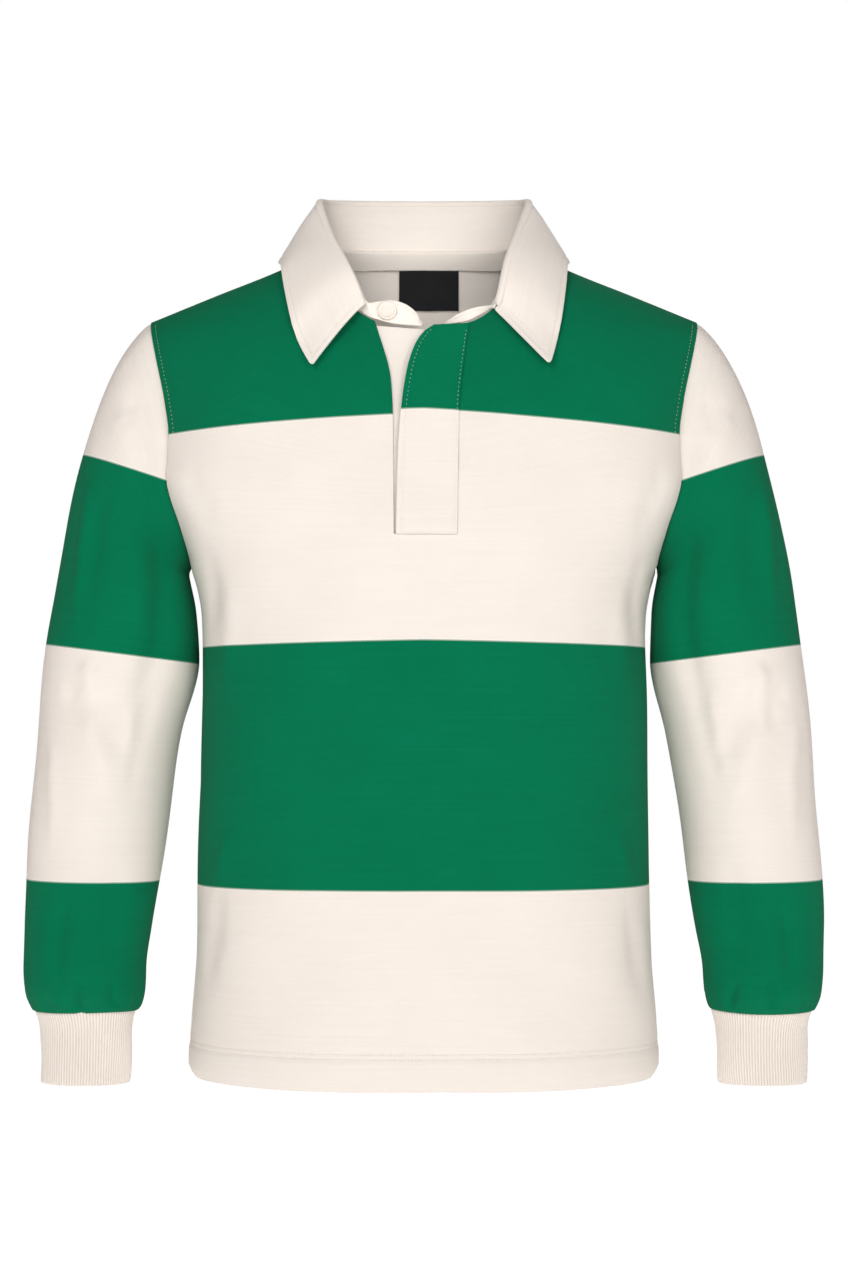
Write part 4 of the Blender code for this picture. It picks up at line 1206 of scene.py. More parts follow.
    @staticmethod
    def _even(line: Array) -> Array:
        """The line with its joins softened."""
        soft = line.copy()
        for _ in range(3):
            soft[1:-1] = 0.25 * soft[:-2] + 0.5 * soft[1:-1] + 0.25 * soft[2:]
        return soft

    def stand_points(self) -> Array:
        """Grid of the stand's inner face, rows from the neck seam up."""
        feet, tops = self.stand_columns()
        shares = np.linspace(0, 1, 12)[:, None, None]
        points = feet + (tops - feet) * shares
        place = np.linspace(0, 1, points.shape[1])
        bow = 0.0012 * np.sin(shares * pi) * ease(np.minimum(place, 1 - place) / 0.2)[None, :, None]
        return points + self.inward(feet)[None] * -bow

    def build_stand(self, finish: bpy.types.Material) -> bpy.types.Object:
        """The stand."""
        points = self.stand_points()
        inner = self.inward(points)
        return Cloth("collar_stand_twill", points, self.twill, finish, out=inner,
                     soft_edge=0.0005).build()

    def _off_stand(self, points: Array) -> Array:
        """Points moved out where they would touch the stand."""
        f = self.frames
        down = f["foot"] - f["fold"]
        share = np.sum((points - f["fold"]) * down, axis=1) / np.sum(down * down, axis=1)
        away = np.sum((points - f["foot"]) * f["out"], axis=1)
        need = self.fall_space * (1 - ease((share - 0.95) / 0.35))
        return points + f["out"] * np.maximum(0, need - away)[:, None]

    def _off_body(self, points: Array, space: float) -> Array:
        """Points moved out where they would touch the front or the back."""
        for _ in range(4):
            for side in (FRONT, BACK):
                x, y, z = points.T
                top = self.form.ridges[side](np.abs(x))
                own = (y * side >= 0) & (z < top + space)
                level = np.minimum(z, top - 0.002)
                out = self.form.normal(side, x, level)
                away = np.sum((points - self.form.surface(side, x, level)) * out, axis=1)
                points = points + out * (np.maximum(0, space - away) * own)[:, None]
        return points

    def fall_points(self) -> Array:
        """Grid of the fall's outer face, rows from inside the fold down to the leaves' edge."""
        f = self.frames
        fold, edge, out, down = f["fold"], f["edge"], f["out"], f["down"]
        rows = [fold + down * (self.roll_drop - k * 0.0015) for k in range(3)]
        for k in range(7):
            angle = pi * (k + 0.5) / 7
            rows.append(fold + out * self.roll_width / 2 * (1 - cos(angle))
                        + down * (0.0030 - 0.0030 * sin(angle)))
        outer = fold + out * self.roll_width + down * 0.0035
        bend = (outer + edge) / 2 + out * self.leaf_swell
        length = float(np.linalg.norm(edge - outer, axis=1).mean())
        shares = spread(length, (0, 0.0005, 0.0013, 0.0022, 0.0034, 0.0046, 0.0055, 0.0064, 0.0085), 20,
                        both=False)
        lean = np.array([0.7, 1.0])
        for t in shares:
            row = (1 - t) ** 2 * outer + 2 * t * (1 - t) * bend + t * t * edge
            row = self._off_stand(row)
            space = self.leaf_space * (lean[0] + (lean[1] - lean[0]) * (1 - t))
            rows.append(self._off_body(row, space))
        points = np.array(rows)
        for _ in range(2):
            inner = points[1:-1, 1:-1]
            inner += 0.25 * (points[1:-1, :-2] + points[1:-1, 2:] - 2 * inner) * 0.8
        return self._rounded(points)

    def _rounded(self, points: Array) -> Array:
        """The grid with its two points rounded off."""
        size = self.corner
        out_points = points.copy()
        for column, step in ((0, 1), (points.shape[1] - 1, -1)):
            base = points[-1, column]
            side = unit(points[-1, column + 6 * step] - base)
            rise = unit(points[-7, column] - base)
            for r in range(len(points) - 1, len(points) - 12, -1):
                for k in range(12):
                    c = column + k * step
                    b = float(np.linalg.norm(points[r, column] - base))
                    a = float(np.linalg.norm(points[-1, c] - base))
                    if a >= size or b >= size:
                        continue
                    u, v = 1 - a / size, 1 - b / size
                    du = u - u * (1 - v * v / 2) ** 0.5
                    dv = v - v * (1 - u * u / 2) ** 0.5
                    out_points[r, c] = points[r, c] + size * (du * side + dv * rise)
        return out_points

    def _relief(self, points: Array) -> Array:
        """Stitched groove along the edges, and a soft unevenness of the leaves."""
        rows, count = points.shape[:2]
        steps = np.linalg.norm(np.diff(points, axis=0), axis=2)
        below = np.flip(np.cumsum(np.flip(steps, 0), axis=0), 0)
        below = np.vstack([below, np.zeros((1, count))])
        beside = np.cumsum(np.linalg.norm(np.diff(points, axis=1), axis=2), axis=1)
        beside = np.hstack([np.zeros((rows, 1)), beside])
        beside = np.minimum(beside, beside[:, -1:] - beside)
        near = np.minimum(below, beside)
        groove = -0.00038 * np.exp(-((near - self.stitch_in) / 0.0011) ** 2)
        puff = 0.00022 * np.exp(-((near - self.stitch_in / 2) / 0.0018) ** 2)
        x, y, z = points[..., 0], points[..., 1], points[..., 2]
        wave = 0.0007 * np.sin(x * 55 + z * 38 + 0.6) * np.sin(y * 47 + 1.1) * ease(below / 0.03)
        return (groove + puff + wave) * ease((np.arange(rows)[:, None] - 9) / 6)

    def fall_cloth(self) -> tuple[Array, Array]:
        """Points and outward directions of the fall with its stitched edges."""
        points = self.fall_points()
        out = grid_normals(points)
        if float(np.sum(out[14:] * self.frames["out"])) < 0:
            out = -out
        return points + out * self._relief(points)[..., None], out

    def fall_lines(self) -> list[tuple[Array, Array]]:
        """Edge stitching of the leaves, down one end, along the edge and up the other."""
        points, out = self.fall_cloth()
        first, last, row = 6, points.shape[1] - 7, len(points) - 7
        picks = [(r, first) for r in range(13, row)] + [(row, c) for c in range(first, last)]
        picks += [(r, last) for r in range(row, 12, -1)]
        line = np.array([points[p] + out[p] * 0.0001 for p in picks])
        return [(line, np.array([out[p] for p in picks]))]

    def stand_lines(self) -> list[tuple[Array, Array]]:
        """Stitching inside the stand above the neck seam, and round its rounded end."""
        points = self.stand_points()
        inner = self.inward(points)
        feet, tops = points[0], points[-1]
        tall = np.linalg.norm(tops - feet, axis=1)
        share = np.clip(0.0045 / np.maximum(tall, 1e-4), 0, 0.5)[:, None]
        inside = feet + (tops - feet) * share + inner[0] * 0.0003
        share = np.clip(1 - 0.0026 / np.maximum(tall, 1e-4), 0.3, 1)[:, None]
        outside = feet + (tops - feet) * share - inner[0] * (self.twill + 0.0002)
        return [(inside[14:-9], inner[0][14:-9]), (outside[3:22], -inner[0][3:22]),
                (outside[-14:-2], -inner[0][-14:-2])]

    def build_fall(self, finish: bpy.types.Material) -> bpy.types.Object:
        """The fall."""
        points, out = self.fall_cloth()
        return Cloth("collar_fall_twill", points, self.twill, finish, out=out,
                     soft_edge=0.0006).build()


# ---------------------------------------------------------------- placket
@dataclass
class Placket:
    """Striped top placket, which laps over, and the plain one under it."""

    form: BodyForm
    panels: BodyPanels
    jersey: float = 0.0016
    space: float = 0.0006                # under the top placket
    tuck: float = 0.0009                 # over the under placket
    turning: float = 0.008
    lift: float = 0.0034                 # the open corner stands this far off the body
    edge_stitch: float = 0.0042          # from the free edge
    sewn_stitch: float = 0.0016          # from the sewn edge
    box_top: float = -0.2420
    rows: int = 84
    columns: int = 22
    sewn_edge: Table = ((-0.2545, 0.0273), (-0.1520, 0.0290), (-0.0920, 0.0355), (-0.0760, 0.0380))
    under_edge: Table = (
        (-0.2545, 0.0060), (-0.1500, 0.0050), (-0.1100, 0.0045), (-0.0800, 0.0000))
    top_left: float = -0.0800
    top_right: float = -0.0772

    def _edges(self, shares: Array) -> tuple[Array, Array, Array, Array]:
        """x and z of the free and the sewn edge at shares of the placket's length."""
        left_z = self.form.slit_foot + (self.top_left - self.form.slit_foot) * shares
        right_z = self.form.slit_foot + (self.top_right - self.form.slit_foot) * shares
        return (Curve.column(self.panels.lap_edge, 1)(left_z), left_z,
                Curve.column(self.sewn_edge, 1)(right_z), right_z)

    def top_surface(self, share: Array, across: Array) -> tuple[Array, Array, Array, Array]:
        """Points of the top placket's face.

        Args:
            share: Share of its length, from the foot up.
            across: Share of its width, from the free edge.

        Returns:
            Points, outward directions, x and z.
        """
        left_x, left_z, right_x, right_z = self._edges(share)
        x, z = left_x + (right_x - left_x) * across, left_z + (right_z - left_z) * across
        width = np.maximum(right_x - left_x, 1e-4)
        in_left, in_right = across * width, (1 - across) * width
        out = self.space + self.jersey
        lifted = self.lift * ease((z + 0.175) / 0.075) * (1 - across) ** 2
        plump = 0.0005 * ease(in_left / 0.008) * ease(in_right / 0.006)
        grooves = (np.exp(-((in_left - self.edge_stitch) / 0.0010) ** 2)
                   + 0.7 * np.exp(-((in_right - self.sewn_stitch) / 0.0010) ** 2))
        box = (np.exp(-((z - self.box_top) / 0.0010) ** 2)
               + np.exp(-((z - self.form.slit_foot - 0.0016) / 0.0010) ** 2))
        wave = 0.0004 * np.sin(z * 95 + x * 40) * ease((z - self.box_top) / 0.02)
        height = out + lifted + plump + wave - 0.0004 * grooves - 0.0004 * box
        normal = self.form.normal(FRONT, x, z)
        return self.form.surface(FRONT, x, z) + normal * height[..., None], normal, x, z

    def build_top(self, finish: bpy.types.Material) -> bpy.types.Object:
        """The top placket."""
        shares = spread(0.176, (0, 0.0008, 0.0016, 0.0026, 0.0040), self.rows)
        across = spread(0.050, (0, 0.0006, 0.0014, 0.0026, 0.0036, 0.0042, 0.0050, 0.0064),
                        self.columns)
        points, out, x, z = self.top_surface(shares[:, None], across[None, :])
        hoop = self.panels.hoops.on_body(x, z, left_front=True)
        return Cloth("placket_top_jersey", points, self.jersey, finish, out=out,
                     numbers={"hoop": hoop}, soft_edge=0.0004).build()

    def build_under(self, finish: bpy.types.Material) -> bpy.types.Object:
        """The under placket."""
        share = np.linspace(0, 1, 60)[:, None]
        low = self.form.slit_foot
        left_z, right_z = low + (-0.0765 - low) * share, low + (-0.0805 - low) * share
        left_x = Curve.column(self.panels.slit_right, 1)(left_z) - self.turning
        right_x = Curve.column(self.under_edge, 1)(right_z)
        across = np.linspace(0, 1, 18)[None, :]
        x, z = left_x + (right_x - left_x) * across, left_z + (right_z - left_z) * across
        out = self.form.normal(FRONT, x, z)
        wave = 0.0004 * np.sin(z * 120 + 1.0) * ease((across - 0.35) / 0.4)
        depth = -self.jersey - self.tuck + wave
        points = self.form.surface(FRONT, x, z) + out * depth[..., None]
        return Cloth("placket_under_jersey", points, self.jersey, finish, out=out,
                     soft_edge=0.0004).build()

    def stitch_lines(self) -> list[tuple[Array, Array]]:
        """Edge stitching and the box at the foot, as lines and outward directions."""
        shares = np.linspace(0.008, 0.985, 90)
        left_x, _, right_x, _ = self._edges(shares)
        width = right_x - left_x
        foot = 0.0016 / (self.top_left - self.form.slit_foot)
        box = (self.box_top - self.form.slit_foot) / (self.top_left - self.form.slit_foot)
        wide = np.linspace(0.03, 0.97, 30)
        lines = []
        for share, across in ((shares, self.edge_stitch / width),
                              (shares, 1 - self.sewn_stitch / width),
                              (np.full(30, foot), wide), (np.full(30, box), wide)):
            points, out, _, _ = self.top_surface(share, across)
            lines.append((points, out))
        return lines


# ---------------------------------------------------------------- inside the back neck
@dataclass
class NeckTrims:
    """Half-moon facing, neck tape and plain label inside the back neck."""

    form: BodyForm
    jersey: float = 0.0016
    trim: float = 0.0010
    tuck: float = 0.0013
    facing_half: float = 0.070
    facing_drop: float = 0.078
    tape_half: float = 0.076
    tape_rise: float = 0.0060            # above the neck seam, to meet the stand
    tape_height: float = 0.0145
    label_x: tuple[float, float] = (-0.0230, 0.0320)
    label_z: tuple[float, float] = (-0.0008, -0.0362)

    def _inside(self, x: Array, z: Array, depth: Array | float) -> tuple[Array, Array]:
        """Points inside the back at a depth under its outer face, and inward directions."""
        out = self.form.normal(BACK, x, z)
        depth = np.broadcast_to(np.asarray(depth, float), x.shape)
        return self.form.surface(BACK, x, z) - out * depth[..., None], -out

    def build_facing(self, finish: bpy.types.Material) -> bpy.types.Object:
        """The facing."""
        share = np.sin(np.linspace(-pi / 2, pi / 2, 61))[None, :]
        x = share * self.facing_half * np.ones((36, 1))
        top = self.form.neck[BACK](np.abs(x)) - 0.0004
        low = top - 0.012 - (self.facing_drop - 0.012) * np.sqrt(np.maximum(1 - share ** 2, 0))
        z = low + (top - low) * np.linspace(0, 1, 36)[:, None]
        depth = self.jersey + self.tuck + self.trim + 0.0005 * np.sin(x * 70 + z * 60)
        points, inward = self._inside(x, z, depth)
        return Cloth("back_facing_jersey", points, self.trim, finish, out=inward).build()

    def build_tape(self, finish: bpy.types.Material) -> bpy.types.Object:
        """The tape, slightly rounded."""
        rows, count = 12, 90
        x = (np.linspace(-1, 1, count) * self.tape_half)[None, :] * np.ones((rows, 1))
        share = np.linspace(0, 1, rows)[:, None]
        z = self.form.neck[BACK](np.abs(x)) + self.tape_rise - self.tape_height * (1 - share)
        plump = 0.0009 * np.sin(pi * share) ** 0.6 - 0.0012 * share ** 3
        depth = self.jersey + 2 * self.tuck + 2 * self.trim + plump * np.ones_like(x)
        points, inward = self._inside(x, z, depth)
        return Cloth("neck_tape_twill", points, self.trim, finish, out=inward,
                     soft_edge=0.0003).build()

    def build_label(self, finish: bpy.types.Material) -> bpy.types.Object:
        """The label, plain, hanging from under the tape."""
        share = np.linspace(0, 1, 26)[:, None]
        z = self.label_z[1] + (self.label_z[0] - self.label_z[1]) * share
        x = self.label_x[0] + (self.label_x[1] - self.label_x[0]) * np.linspace(0, 1, 30)[None, :]
        z, x = np.broadcast_arrays(z, x)
        curl = 0.0007 * (1 - share) * np.cos((x - 0.0045) * 110) ** 2
        depth = self.jersey + 2 * self.tuck + self.trim + 0.0010 + curl
        points, inward = self._inside(x, z, depth)
        return Cloth("neck_label_plain", points, self.trim, finish, out=inward,
                     soft_edge=0.0003).build()

    def tape_lines(self) -> list[tuple[Array, Array]]:
        """Stitching along the tape's lower edge."""
        x = np.linspace(-0.068, 0.068, 80)
        z = self.form.neck[BACK](np.abs(x)) + self.tape_rise - self.tape_height + 0.0014
        return [self._inside(x, z, self.jersey + 2 * self.tuck + 2 * self.trim + 0.0008)]


# ---------------------------------------------------------------- button
@dataclass
class StandButton:
    """Moulded button on the stand's rounded end."""

    collar: Collar
    radius: float = 0.0080
    thickness: float = 0.0030
    rim: float = 0.0017
    dish: float = 0.0007
    x: float = -0.0305
    share: float = 0.48                  # of the stand's height
    stand_off: float = 0.0006

    def place(self) -> tuple[Vector, Vector]:
        """Centre of the button and its outward direction."""
        feet, tops = self.collar.stand_columns()
        near = int(np.argmin(np.abs(feet[:30, 0] - self.x)))
        foot, top = feet[near], tops[near]
        beside = feet[near + 2] + tops[near + 2] - feet[near - 2] - tops[near - 2]
        out = unit(np.cross(beside, top - foot))
        out = out if out[1] < 0 else -out
        centre = foot + (top - foot) * self.share
        return Vector(centre + out * (self.collar.twill + self.stand_off)), Vector(out)

    def build(self, finish: bpy.types.Material) -> bpy.types.Object:
        """The button: a disc with a raised rim and a dished middle, slightly raised at its centre."""
        bpy.ops.object.select_all(action="DESELECT")
        bpy.ops.mesh.primitive_cylinder_add(vertices=64, radius=self.radius, depth=self.thickness,
                                            location=(0, 0, self.thickness / 2))
        button = bpy.context.object
        button.name = button.data.name = "stand_button_moulded"
        bpy.ops.object.transform_apply(location=True, rotation=True, scale=True)
        bpy.ops.object.mode_set(mode="EDIT")
        mesh = bmesh.from_edit_mesh(button.data)
        for face in mesh.faces:
            face.select = face.normal.z > 0.9
        mesh.select_mode = {"FACE"}
        bmesh.update_edit_mesh(button.data)
        bpy.ops.mesh.inset(thickness=self.rim, depth=0.0)
        bpy.ops.mesh.inset(thickness=0.0006, depth=-self.dish)
        bpy.ops.mesh.inset(thickness=self.radius * 0.42, depth=0.00012)
        bpy.ops.object.mode_set(mode="OBJECT")
        bevel = button.modifiers.new("edge", "BEVEL")
        bevel.width, bevel.segments, bevel.limit_method = 0.0006, 3, "ANGLE"
        bevel.angle_limit = radians(35)
        bpy.ops.object.modifier_apply(modifier=bevel.name)
        centre, out = self.place()
        turn = out.to_track_quat("Z", "Y").to_matrix().to_4x4()
        turn.translation = centre
        button.data.transform(turn)
        bpy.ops.object.shade_smooth_by_angle(angle=radians(40))
        button.data.materials.append(finish)
        return button


# ---------------------------------------------------------------- stitching
@dataclass
class Stitching:
    """Rows of small stitches joined in one piece."""

    name: str
    length: float = 0.0026
    gap: float = 0.0009
    width: float = 0.00055
    raised: float = 0.00022

    def __post_init__(self) -> None:
        """Start with nothing."""
        self.verts: list[Array] = []
        self.faces: list[tuple[int, ...]] = []
        self.count = 0

    def row(self, line: Array, out: Array) -> None:
        """Add stitches along a line.

        Args:
            line: Points on the cloth.
            out: Outward directions there.
        """
        run = np.concatenate([[0], np.cumsum(np.linalg.norm(np.diff(line, axis=0), axis=1))])
        pitch = self.length + self.gap
        starts = np.arange(self.gap, run[-1] - self.length, pitch)

        def at(values: Array, place: Array) -> Array:
            return np.stack([np.interp(place, run, values[:, k]) for k in range(3)], axis=-1)

        first, last = at(line, starts), at(line, starts + self.length)
        up = unit(at(out, starts + self.length / 2))
        ahead = unit(last - first)
        beside = unit(np.cross(ahead, up))
        half = self.width / 2
        sink = -0.4 * half
        for a, b, u, s in zip(first, last, up, beside):
            base = len(self.verts)
            self.verts += [a + u * sink, b + u * sink]
            for share in (0.22, 0.78):
                middle = a + (b - a) * share + u * self.raised
                self.verts += [middle + s * half, middle + u * half,
                               middle - s * half, middle - u * half]
            for k in range(4):
                n = (k + 1) % 4
                self.faces += [(base, base + 2 + n, base + 2 + k),
                               (base + 1, base + 6 + k, base + 6 + n),
                               (base + 2 + k, base + 2 + n, base + 6 + n, base + 6 + k)]
            self.count += 1

    def build(self, finish: bpy.types.Material, slot: str) -> bpy.types.Object:
        """The joined stitches."""
        mesh = bpy.data.meshes.new(self.name)
        mesh.from_pydata([tuple(v) for v in self.verts], [], self.faces)
        mesh.materials.append(finish)
        made = bmesh.new()
        made.from_mesh(mesh)
        bmesh.ops.recalc_face_normals(made, faces=made.faces)
        made.to_mesh(mesh)
        made.free()
        mesh.shade_smooth()
        piece = bpy.data.objects.new(self.name, mesh)
        bpy.context.scene.collection.objects.link(piece)
        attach(piece, "root")
        log.info("%s: %d stitches", self.name, self.count)
        return piece


# ---------------------------------------------------------------- studio
@dataclass
class Studio:
    """Pale floor, plain soft light and the camera in front of the shirt."""

    eye: tuple[float, float, float] = (0.0, -2.2, -0.392)
    tilt: float = 1.55                   # degrees up
    lens: float = 71.6
    floor_z: float = -1.30
    floor_size: float = 16.0
    floor_shade: float = 0.60
    floor_glow: float = 0.92             # keeps the floor as white as the surroundings
    soft_light: float = 0.17             # the surroundings, as light
    lamps: tuple[tuple[str, tuple[float, float, float], float, float], ...] = (
        ("key_light", (-0.8, -2.7, 0.75), 1.1, 39.0),       # name, place, side, watts
        ("fill_light", (1.1, -2.6, 0.10), 1.3, 25.0),
        ("top_light", (0.0, -0.5, 2.4), 1.8, 9.0),
        ("back_light", (0.4, 2.4, 1.0), 2.0, 16.0))
    neck_place: tuple[float, float, float] = (0.0, -1.95, -0.20)
    neck_aim: tuple[float, float, float] = (0.0, 0.06, -0.012)
    neck_watts: float = 52.0
    neck_spread: float = 5.4             # degrees

    def floor(self) -> None:
        """A wide pale floor."""
        bpy.ops.object.select_all(action="DESELECT")
        bpy.ops.mesh.primitive_plane_add(size=self.floor_size, location=(0, 0, self.floor_z))
        plane = bpy.context.object
        plane.name = "studio_floor"
        paint = bpy.data.materials.new("studio_white")
        paint.use_nodes = True
        shader = paint.node_tree.nodes["Principled BSDF"]
        shader.inputs["Base Color"].default_value = (*(self.floor_shade,) * 3, 1)
        shader.inputs["Roughness"].default_value = 0.9
        shader.inputs["Emission Color"].default_value = (1, 1, 1, 1)
        shader.inputs["Emission Strength"].default_value = self.floor_glow
        plane.data.materials.append(paint)

    def lamp(self, name: str, place: tuple[float, float, float], size: float, power: float,
             aim: tuple[float, float, float] = (0.0, 0.0, -0.35)) -> None:
        """A square soft light.

        Args:
            name: Its name.
            place: Where it stands.
            size: Its side.
            power: Its power in watts.
            aim: What it points at.
        """
        data = bpy.data.lights.new(name, "AREA")
        data.shape, data.size, data.energy = "SQUARE", size, power
        light = bpy.data.objects.new(name, data)
        light.location = place
        light.rotation_euler = (Vector(aim) - Vector(place)).to_track_quat("-Z", "Y").to_euler()
        bpy.context.scene.collection.objects.link(light)

    def neck_lamp(self) -> None:
        """A narrow soft lamp that reaches down into the neck."""
        data = bpy.data.lights.new("neck_light", "SPOT")
        data.energy, data.shadow_soft_size = self.neck_watts, 0.05
        data.spot_size, data.spot_blend = radians(self.neck_spread), 1.0
        light = bpy.data.objects.new("neck_light", data)
        light.location = self.neck_place
        aim = Vector(self.neck_aim) - Vector(self.neck_place)
        light.rotation_euler = aim.to_track_quat("-Z", "Y").to_euler()
        bpy.context.scene.collection.objects.link(light)

    def world(self) -> None:
        """White surroundings: bright behind the shirt, softer as light."""
        sky = bpy.data.worlds.new("studio_surroundings")
        sky.use_nodes = True
        tree = sky.node_tree
        glow = tree.nodes["Background"]
        glow.inputs["Color"].default_value = (1.0, 0.995, 0.985, 1)
        glow.inputs["Strength"].default_value = self.soft_light
        seen = tree.nodes.new("ShaderNodeBackground")
        seen.inputs["Color"].default_value = (1, 1, 1, 1)
        seen.inputs["Strength"].default_value = 1.0
        path = tree.nodes.new("ShaderNodeLightPath")
        mix = tree.nodes.new("ShaderNodeMixShader")
        tree.links.new(path.outputs["Is Camera Ray"], mix.inputs[0])
        tree.links.new(glow.outputs[0], mix.inputs[1])
        tree.links.new(seen.outputs[0], mix.inputs[2])
        tree.links.new(mix.outputs[0], tree.nodes["World Output"].inputs["Surface"])
        bpy.context.scene.world = sky

    def camera(self) -> None:
        """The camera, level with the shirt's middle and straight in front of it."""
        data = bpy.data.cameras.new("camera")
        data.lens, data.sensor_width, data.sensor_fit = self.lens, 36.0, "AUTO"
        view = bpy.data.objects.new("camera", data)
        view.location = self.eye
        view.rotation_euler = (radians(90 + self.tilt), 0, 0)
        bpy.context.scene.collection.objects.link(view)
        bpy.context.scene.camera = view

    def build(self) -> None:
        """Everything round the shirt."""
        self.floor()
        self.world()
        self.camera()
        for name, place, size, power in self.lamps:
            self.lamp(name, place, size, power)
        self.neck_lamp()
        scene = bpy.context.scene
        scene.view_settings.view_transform = "Standard"
        scene.view_settings.look = "None"


# ---------------------------------------------------------------- the shirt
@dataclass(frozen=True)
class Wardrobe:
    """The finishes of the shirt."""

    body: bpy.types.Material
    sleeve: bpy.types.Material
    plain: bpy.types.Material
    facing: bpy.types.Material
    twill: bpy.types.Material
    rib: bpy.types.Material
    label: bpy.types.Material
    thread: bpy.types.Material
    button: bpy.types.Material

    @classmethod
    def make(cls, hoops: Hoops) -> "Wardrobe":
        """Make every finish."""
        return cls(
            body=JerseyFinish("jersey_body_hoops", True, hoops.body_borders, True).make(),
            sleeve=JerseyFinish("jersey_sleeve_hoops", True, hoops.sleeve_borders, False).make(),
            plain=JerseyFinish("jersey_cream", False).make(),
            facing=JerseyFinish("jersey_facing_cream", False).make(),
            twill=TwillFinish("twill_cream").make(),
            rib=RibFinish("rib_cream").make(),
            label=LabelFinish("label_black").make(),
            thread=SmoothFinish("thread_cream", (0.80, 0.75, 0.68), 0.6, 0.1).make(),
            button=SmoothFinish("button_cream", (0.74, 0.67, 0.60), 0.40).make())


@dataclass(frozen=True)
class Cut:
    """Flat cut of one sheet: the rectangle round it and the area cut away from that."""

    width: float
    length: float
    away: float = 0.0

    @property
    def area(self) -> float:
        """Area of the cut, from the pattern's sizes and never from the mesh."""
        return self.width * self.length - self.away


class Pattern:
    """Sizes of the flat pattern, and the cut of each piece worked out from them."""

    shoulder_run: float = 0.151          # neck point to armhole
    shoulder_drop: float = 0.050
    neck_width: float = 0.176
    neck_depth: tuple[float, float] = (0.085, 0.020)     # front, back
    armhole_height: float = 0.220
    armhole_inset: float = 0.040
    curve_share: float = 0.7             # share of its rectangle that a cut curve takes
    sleeve_end: float = 0.250            # round the sleeve where it meets the cuff
    cap_height: float = 0.120
    cap_share: float = 0.35              # share of the cap's rectangle cut away
    stand_depth: float = 0.034           # of the curved band in its rectangle
    lap_corner: tuple[float, float, float] = (0.080, 0.030, 0.55)
    under_taper: float = 0.0095          # mean narrowing of the under placket

    @classmethod
    def cut(cls, node: str) -> Cut:
        """The cut of what shows of one piece.

        Args:
            node: The solid's name.
        """
        p = cls
        ends = 2 * p.armhole_height * p.armhole_inset * p.curve_share
        ends += p.shoulder_run * p.shoulder_drop
        front_neck, back_neck = (p.neck_width * depth * p.curve_share for depth in p.neck_depth)
        sleeve = Cut(0.420, 0.600, (0.600 - p.cap_height) * (0.420 - p.sleeve_end) / 2
                     + 0.420 * p.cap_height * p.cap_share)
        cuff = Cut(0.210, 0.070)
        return {
            "front": Cut(0.500, 0.770, ends + front_neck),
            "back": Cut(0.480, 0.790, ends + back_neck),
            "sleeve_right": sleeve, "sleeve_left": sleeve,
            "cuff_right": cuff, "cuff_left": cuff,
            "collar_stand": Cut(0.480, 0.045, 0.480 * (0.045 - p.stand_depth)),
            "collar_fall": Cut(0.500, 0.085),
            "placket_top": Cut(0.052, 0.180, p.lap_corner[0] * p.lap_corner[1] * p.lap_corner[2]),
            "placket_under": Cut(0.050, 0.180, 0.180 * p.under_taper),
            "back_facing": Cut(0.142, 0.080, 0.142 * 0.080 * (1 - pi / 4)),
            "neck_tape": Cut(0.154, 0.015),
            "neck_label": Cut(0.056, 0.036)}[node]


def flat_area(piece: bpy.types.Object) -> float:
    """Half the surface of a thin wall, which is its cloth's area."""
    return sum(face.area for face in piece.data.polygons) / 2


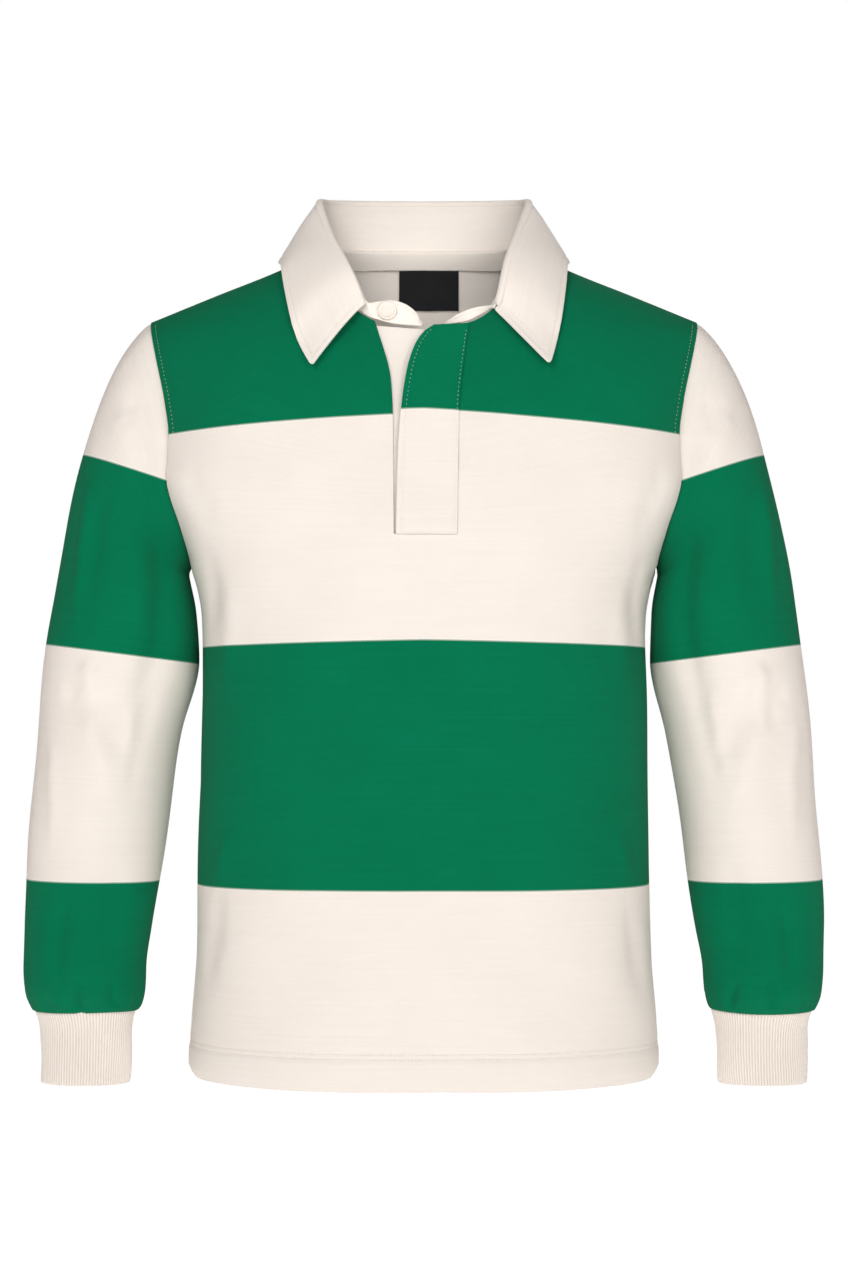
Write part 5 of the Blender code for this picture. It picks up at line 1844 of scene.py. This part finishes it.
def main() -> None:
    """Build the shirt piece by piece."""
    form, hoops = BodyForm(), Hoops()
    finishes = Wardrobe.make(hoops)
    panels, collar = BodyPanels(form, hoops), Collar(form)
    placket, trims = Placket(form, panels), NeckTrims(form)

    front, back = panels.front(finishes.body), panels.back(finishes.body)
    sleeves = {hand: Sleeve(form, hoops, hand).build(finishes.sleeve) for hand in (RIGHT, LEFT)}
    cuffs = {hand: Cuff(hand).build(finishes.rib) for hand in (RIGHT, LEFT)}
    stand, fall = collar.build_stand(finishes.twill), collar.build_fall(finishes.twill)
    top, under = placket.build_top(finishes.body), placket.build_under(finishes.plain)
    facing, tape = trims.build_facing(finishes.facing), trims.build_tape(finishes.twill)
    label = trims.build_label(finishes.label)

    button = StandButton(collar).build(finishes.button)
    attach(button, "root")
    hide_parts("stand_button")

    hem = Stitching("hem_stitches")
    armholes = Stitching("armhole_stitches", length=0.0015, gap=0.0022, width=0.00034)
    for side in (FRONT, BACK):
        for line, out in panels.hem_lines(side):
            hem.row(line, out)
        for line, out in panels.armhole_lines(side):
            armholes.row(line, out)
    edges = Stitching("placket_stitches", length=0.0014, gap=0.0022, width=0.00030)
    for line, out in placket.stitch_lines():
        edges.row(line, out)
    neck = Stitching("neck_stitches")
    for line, out in trims.tape_lines() + collar.stand_lines():
        neck.row(line, out)
    leaves = Stitching("collar_stitches", gap=0.0007, width=0.00045, raised=0.0001)
    for line, out in collar.fall_lines():
        leaves.row(line, out)
    body_thread = [hem.build(finishes.thread, "jersey_striped"),
                   armholes.build(finishes.thread, "jersey_striped")]
    placket_thread = edges.build(finishes.thread, "jersey_striped")
    neck_thread = neck.build(finishes.thread, "twill_cream")
    leaf_thread = leaves.build(finishes.thread, "twill_cream")

    cloths = [
        (front, "front", "jersey_striped", body_thread),
        (back, "back", "jersey_striped", []),
        (sleeves[RIGHT], "sleeve_right", "jersey_striped", []),
        (sleeves[LEFT], "sleeve_left", "jersey_striped", []),
        (cuffs[RIGHT], "cuff_right", "rib_cream", []),
        (cuffs[LEFT], "cuff_left", "rib_cream", []),
        (stand, "collar_stand", "twill_cream", [neck_thread]),
        (fall, "collar_fall", "twill_cream", [leaf_thread]),
        (top, "placket_top", "jersey_striped", [placket_thread]),
        (under, "placket_under", "jersey_cream", []),
        (facing, "back_facing", "jersey_cream", []),
        (tape, "neck_tape", "twill_cream", []),
        (label, "neck_label", "label_black", []),
    ]
    for piece, node, slot, on_it in cloths:
        cut = Pattern.cut(node)
        log.info("%s: cut %.4f m2, mesh %.4f m2", piece.name, cut.area, flat_area(piece))
        sheet(piece, node, slot, cut.area, with_pieces=on_it)
    Studio().build()


if __name__ == "__main__":
    logging.basicConfig(level=logging.INFO, format="%(message)s")
    main()
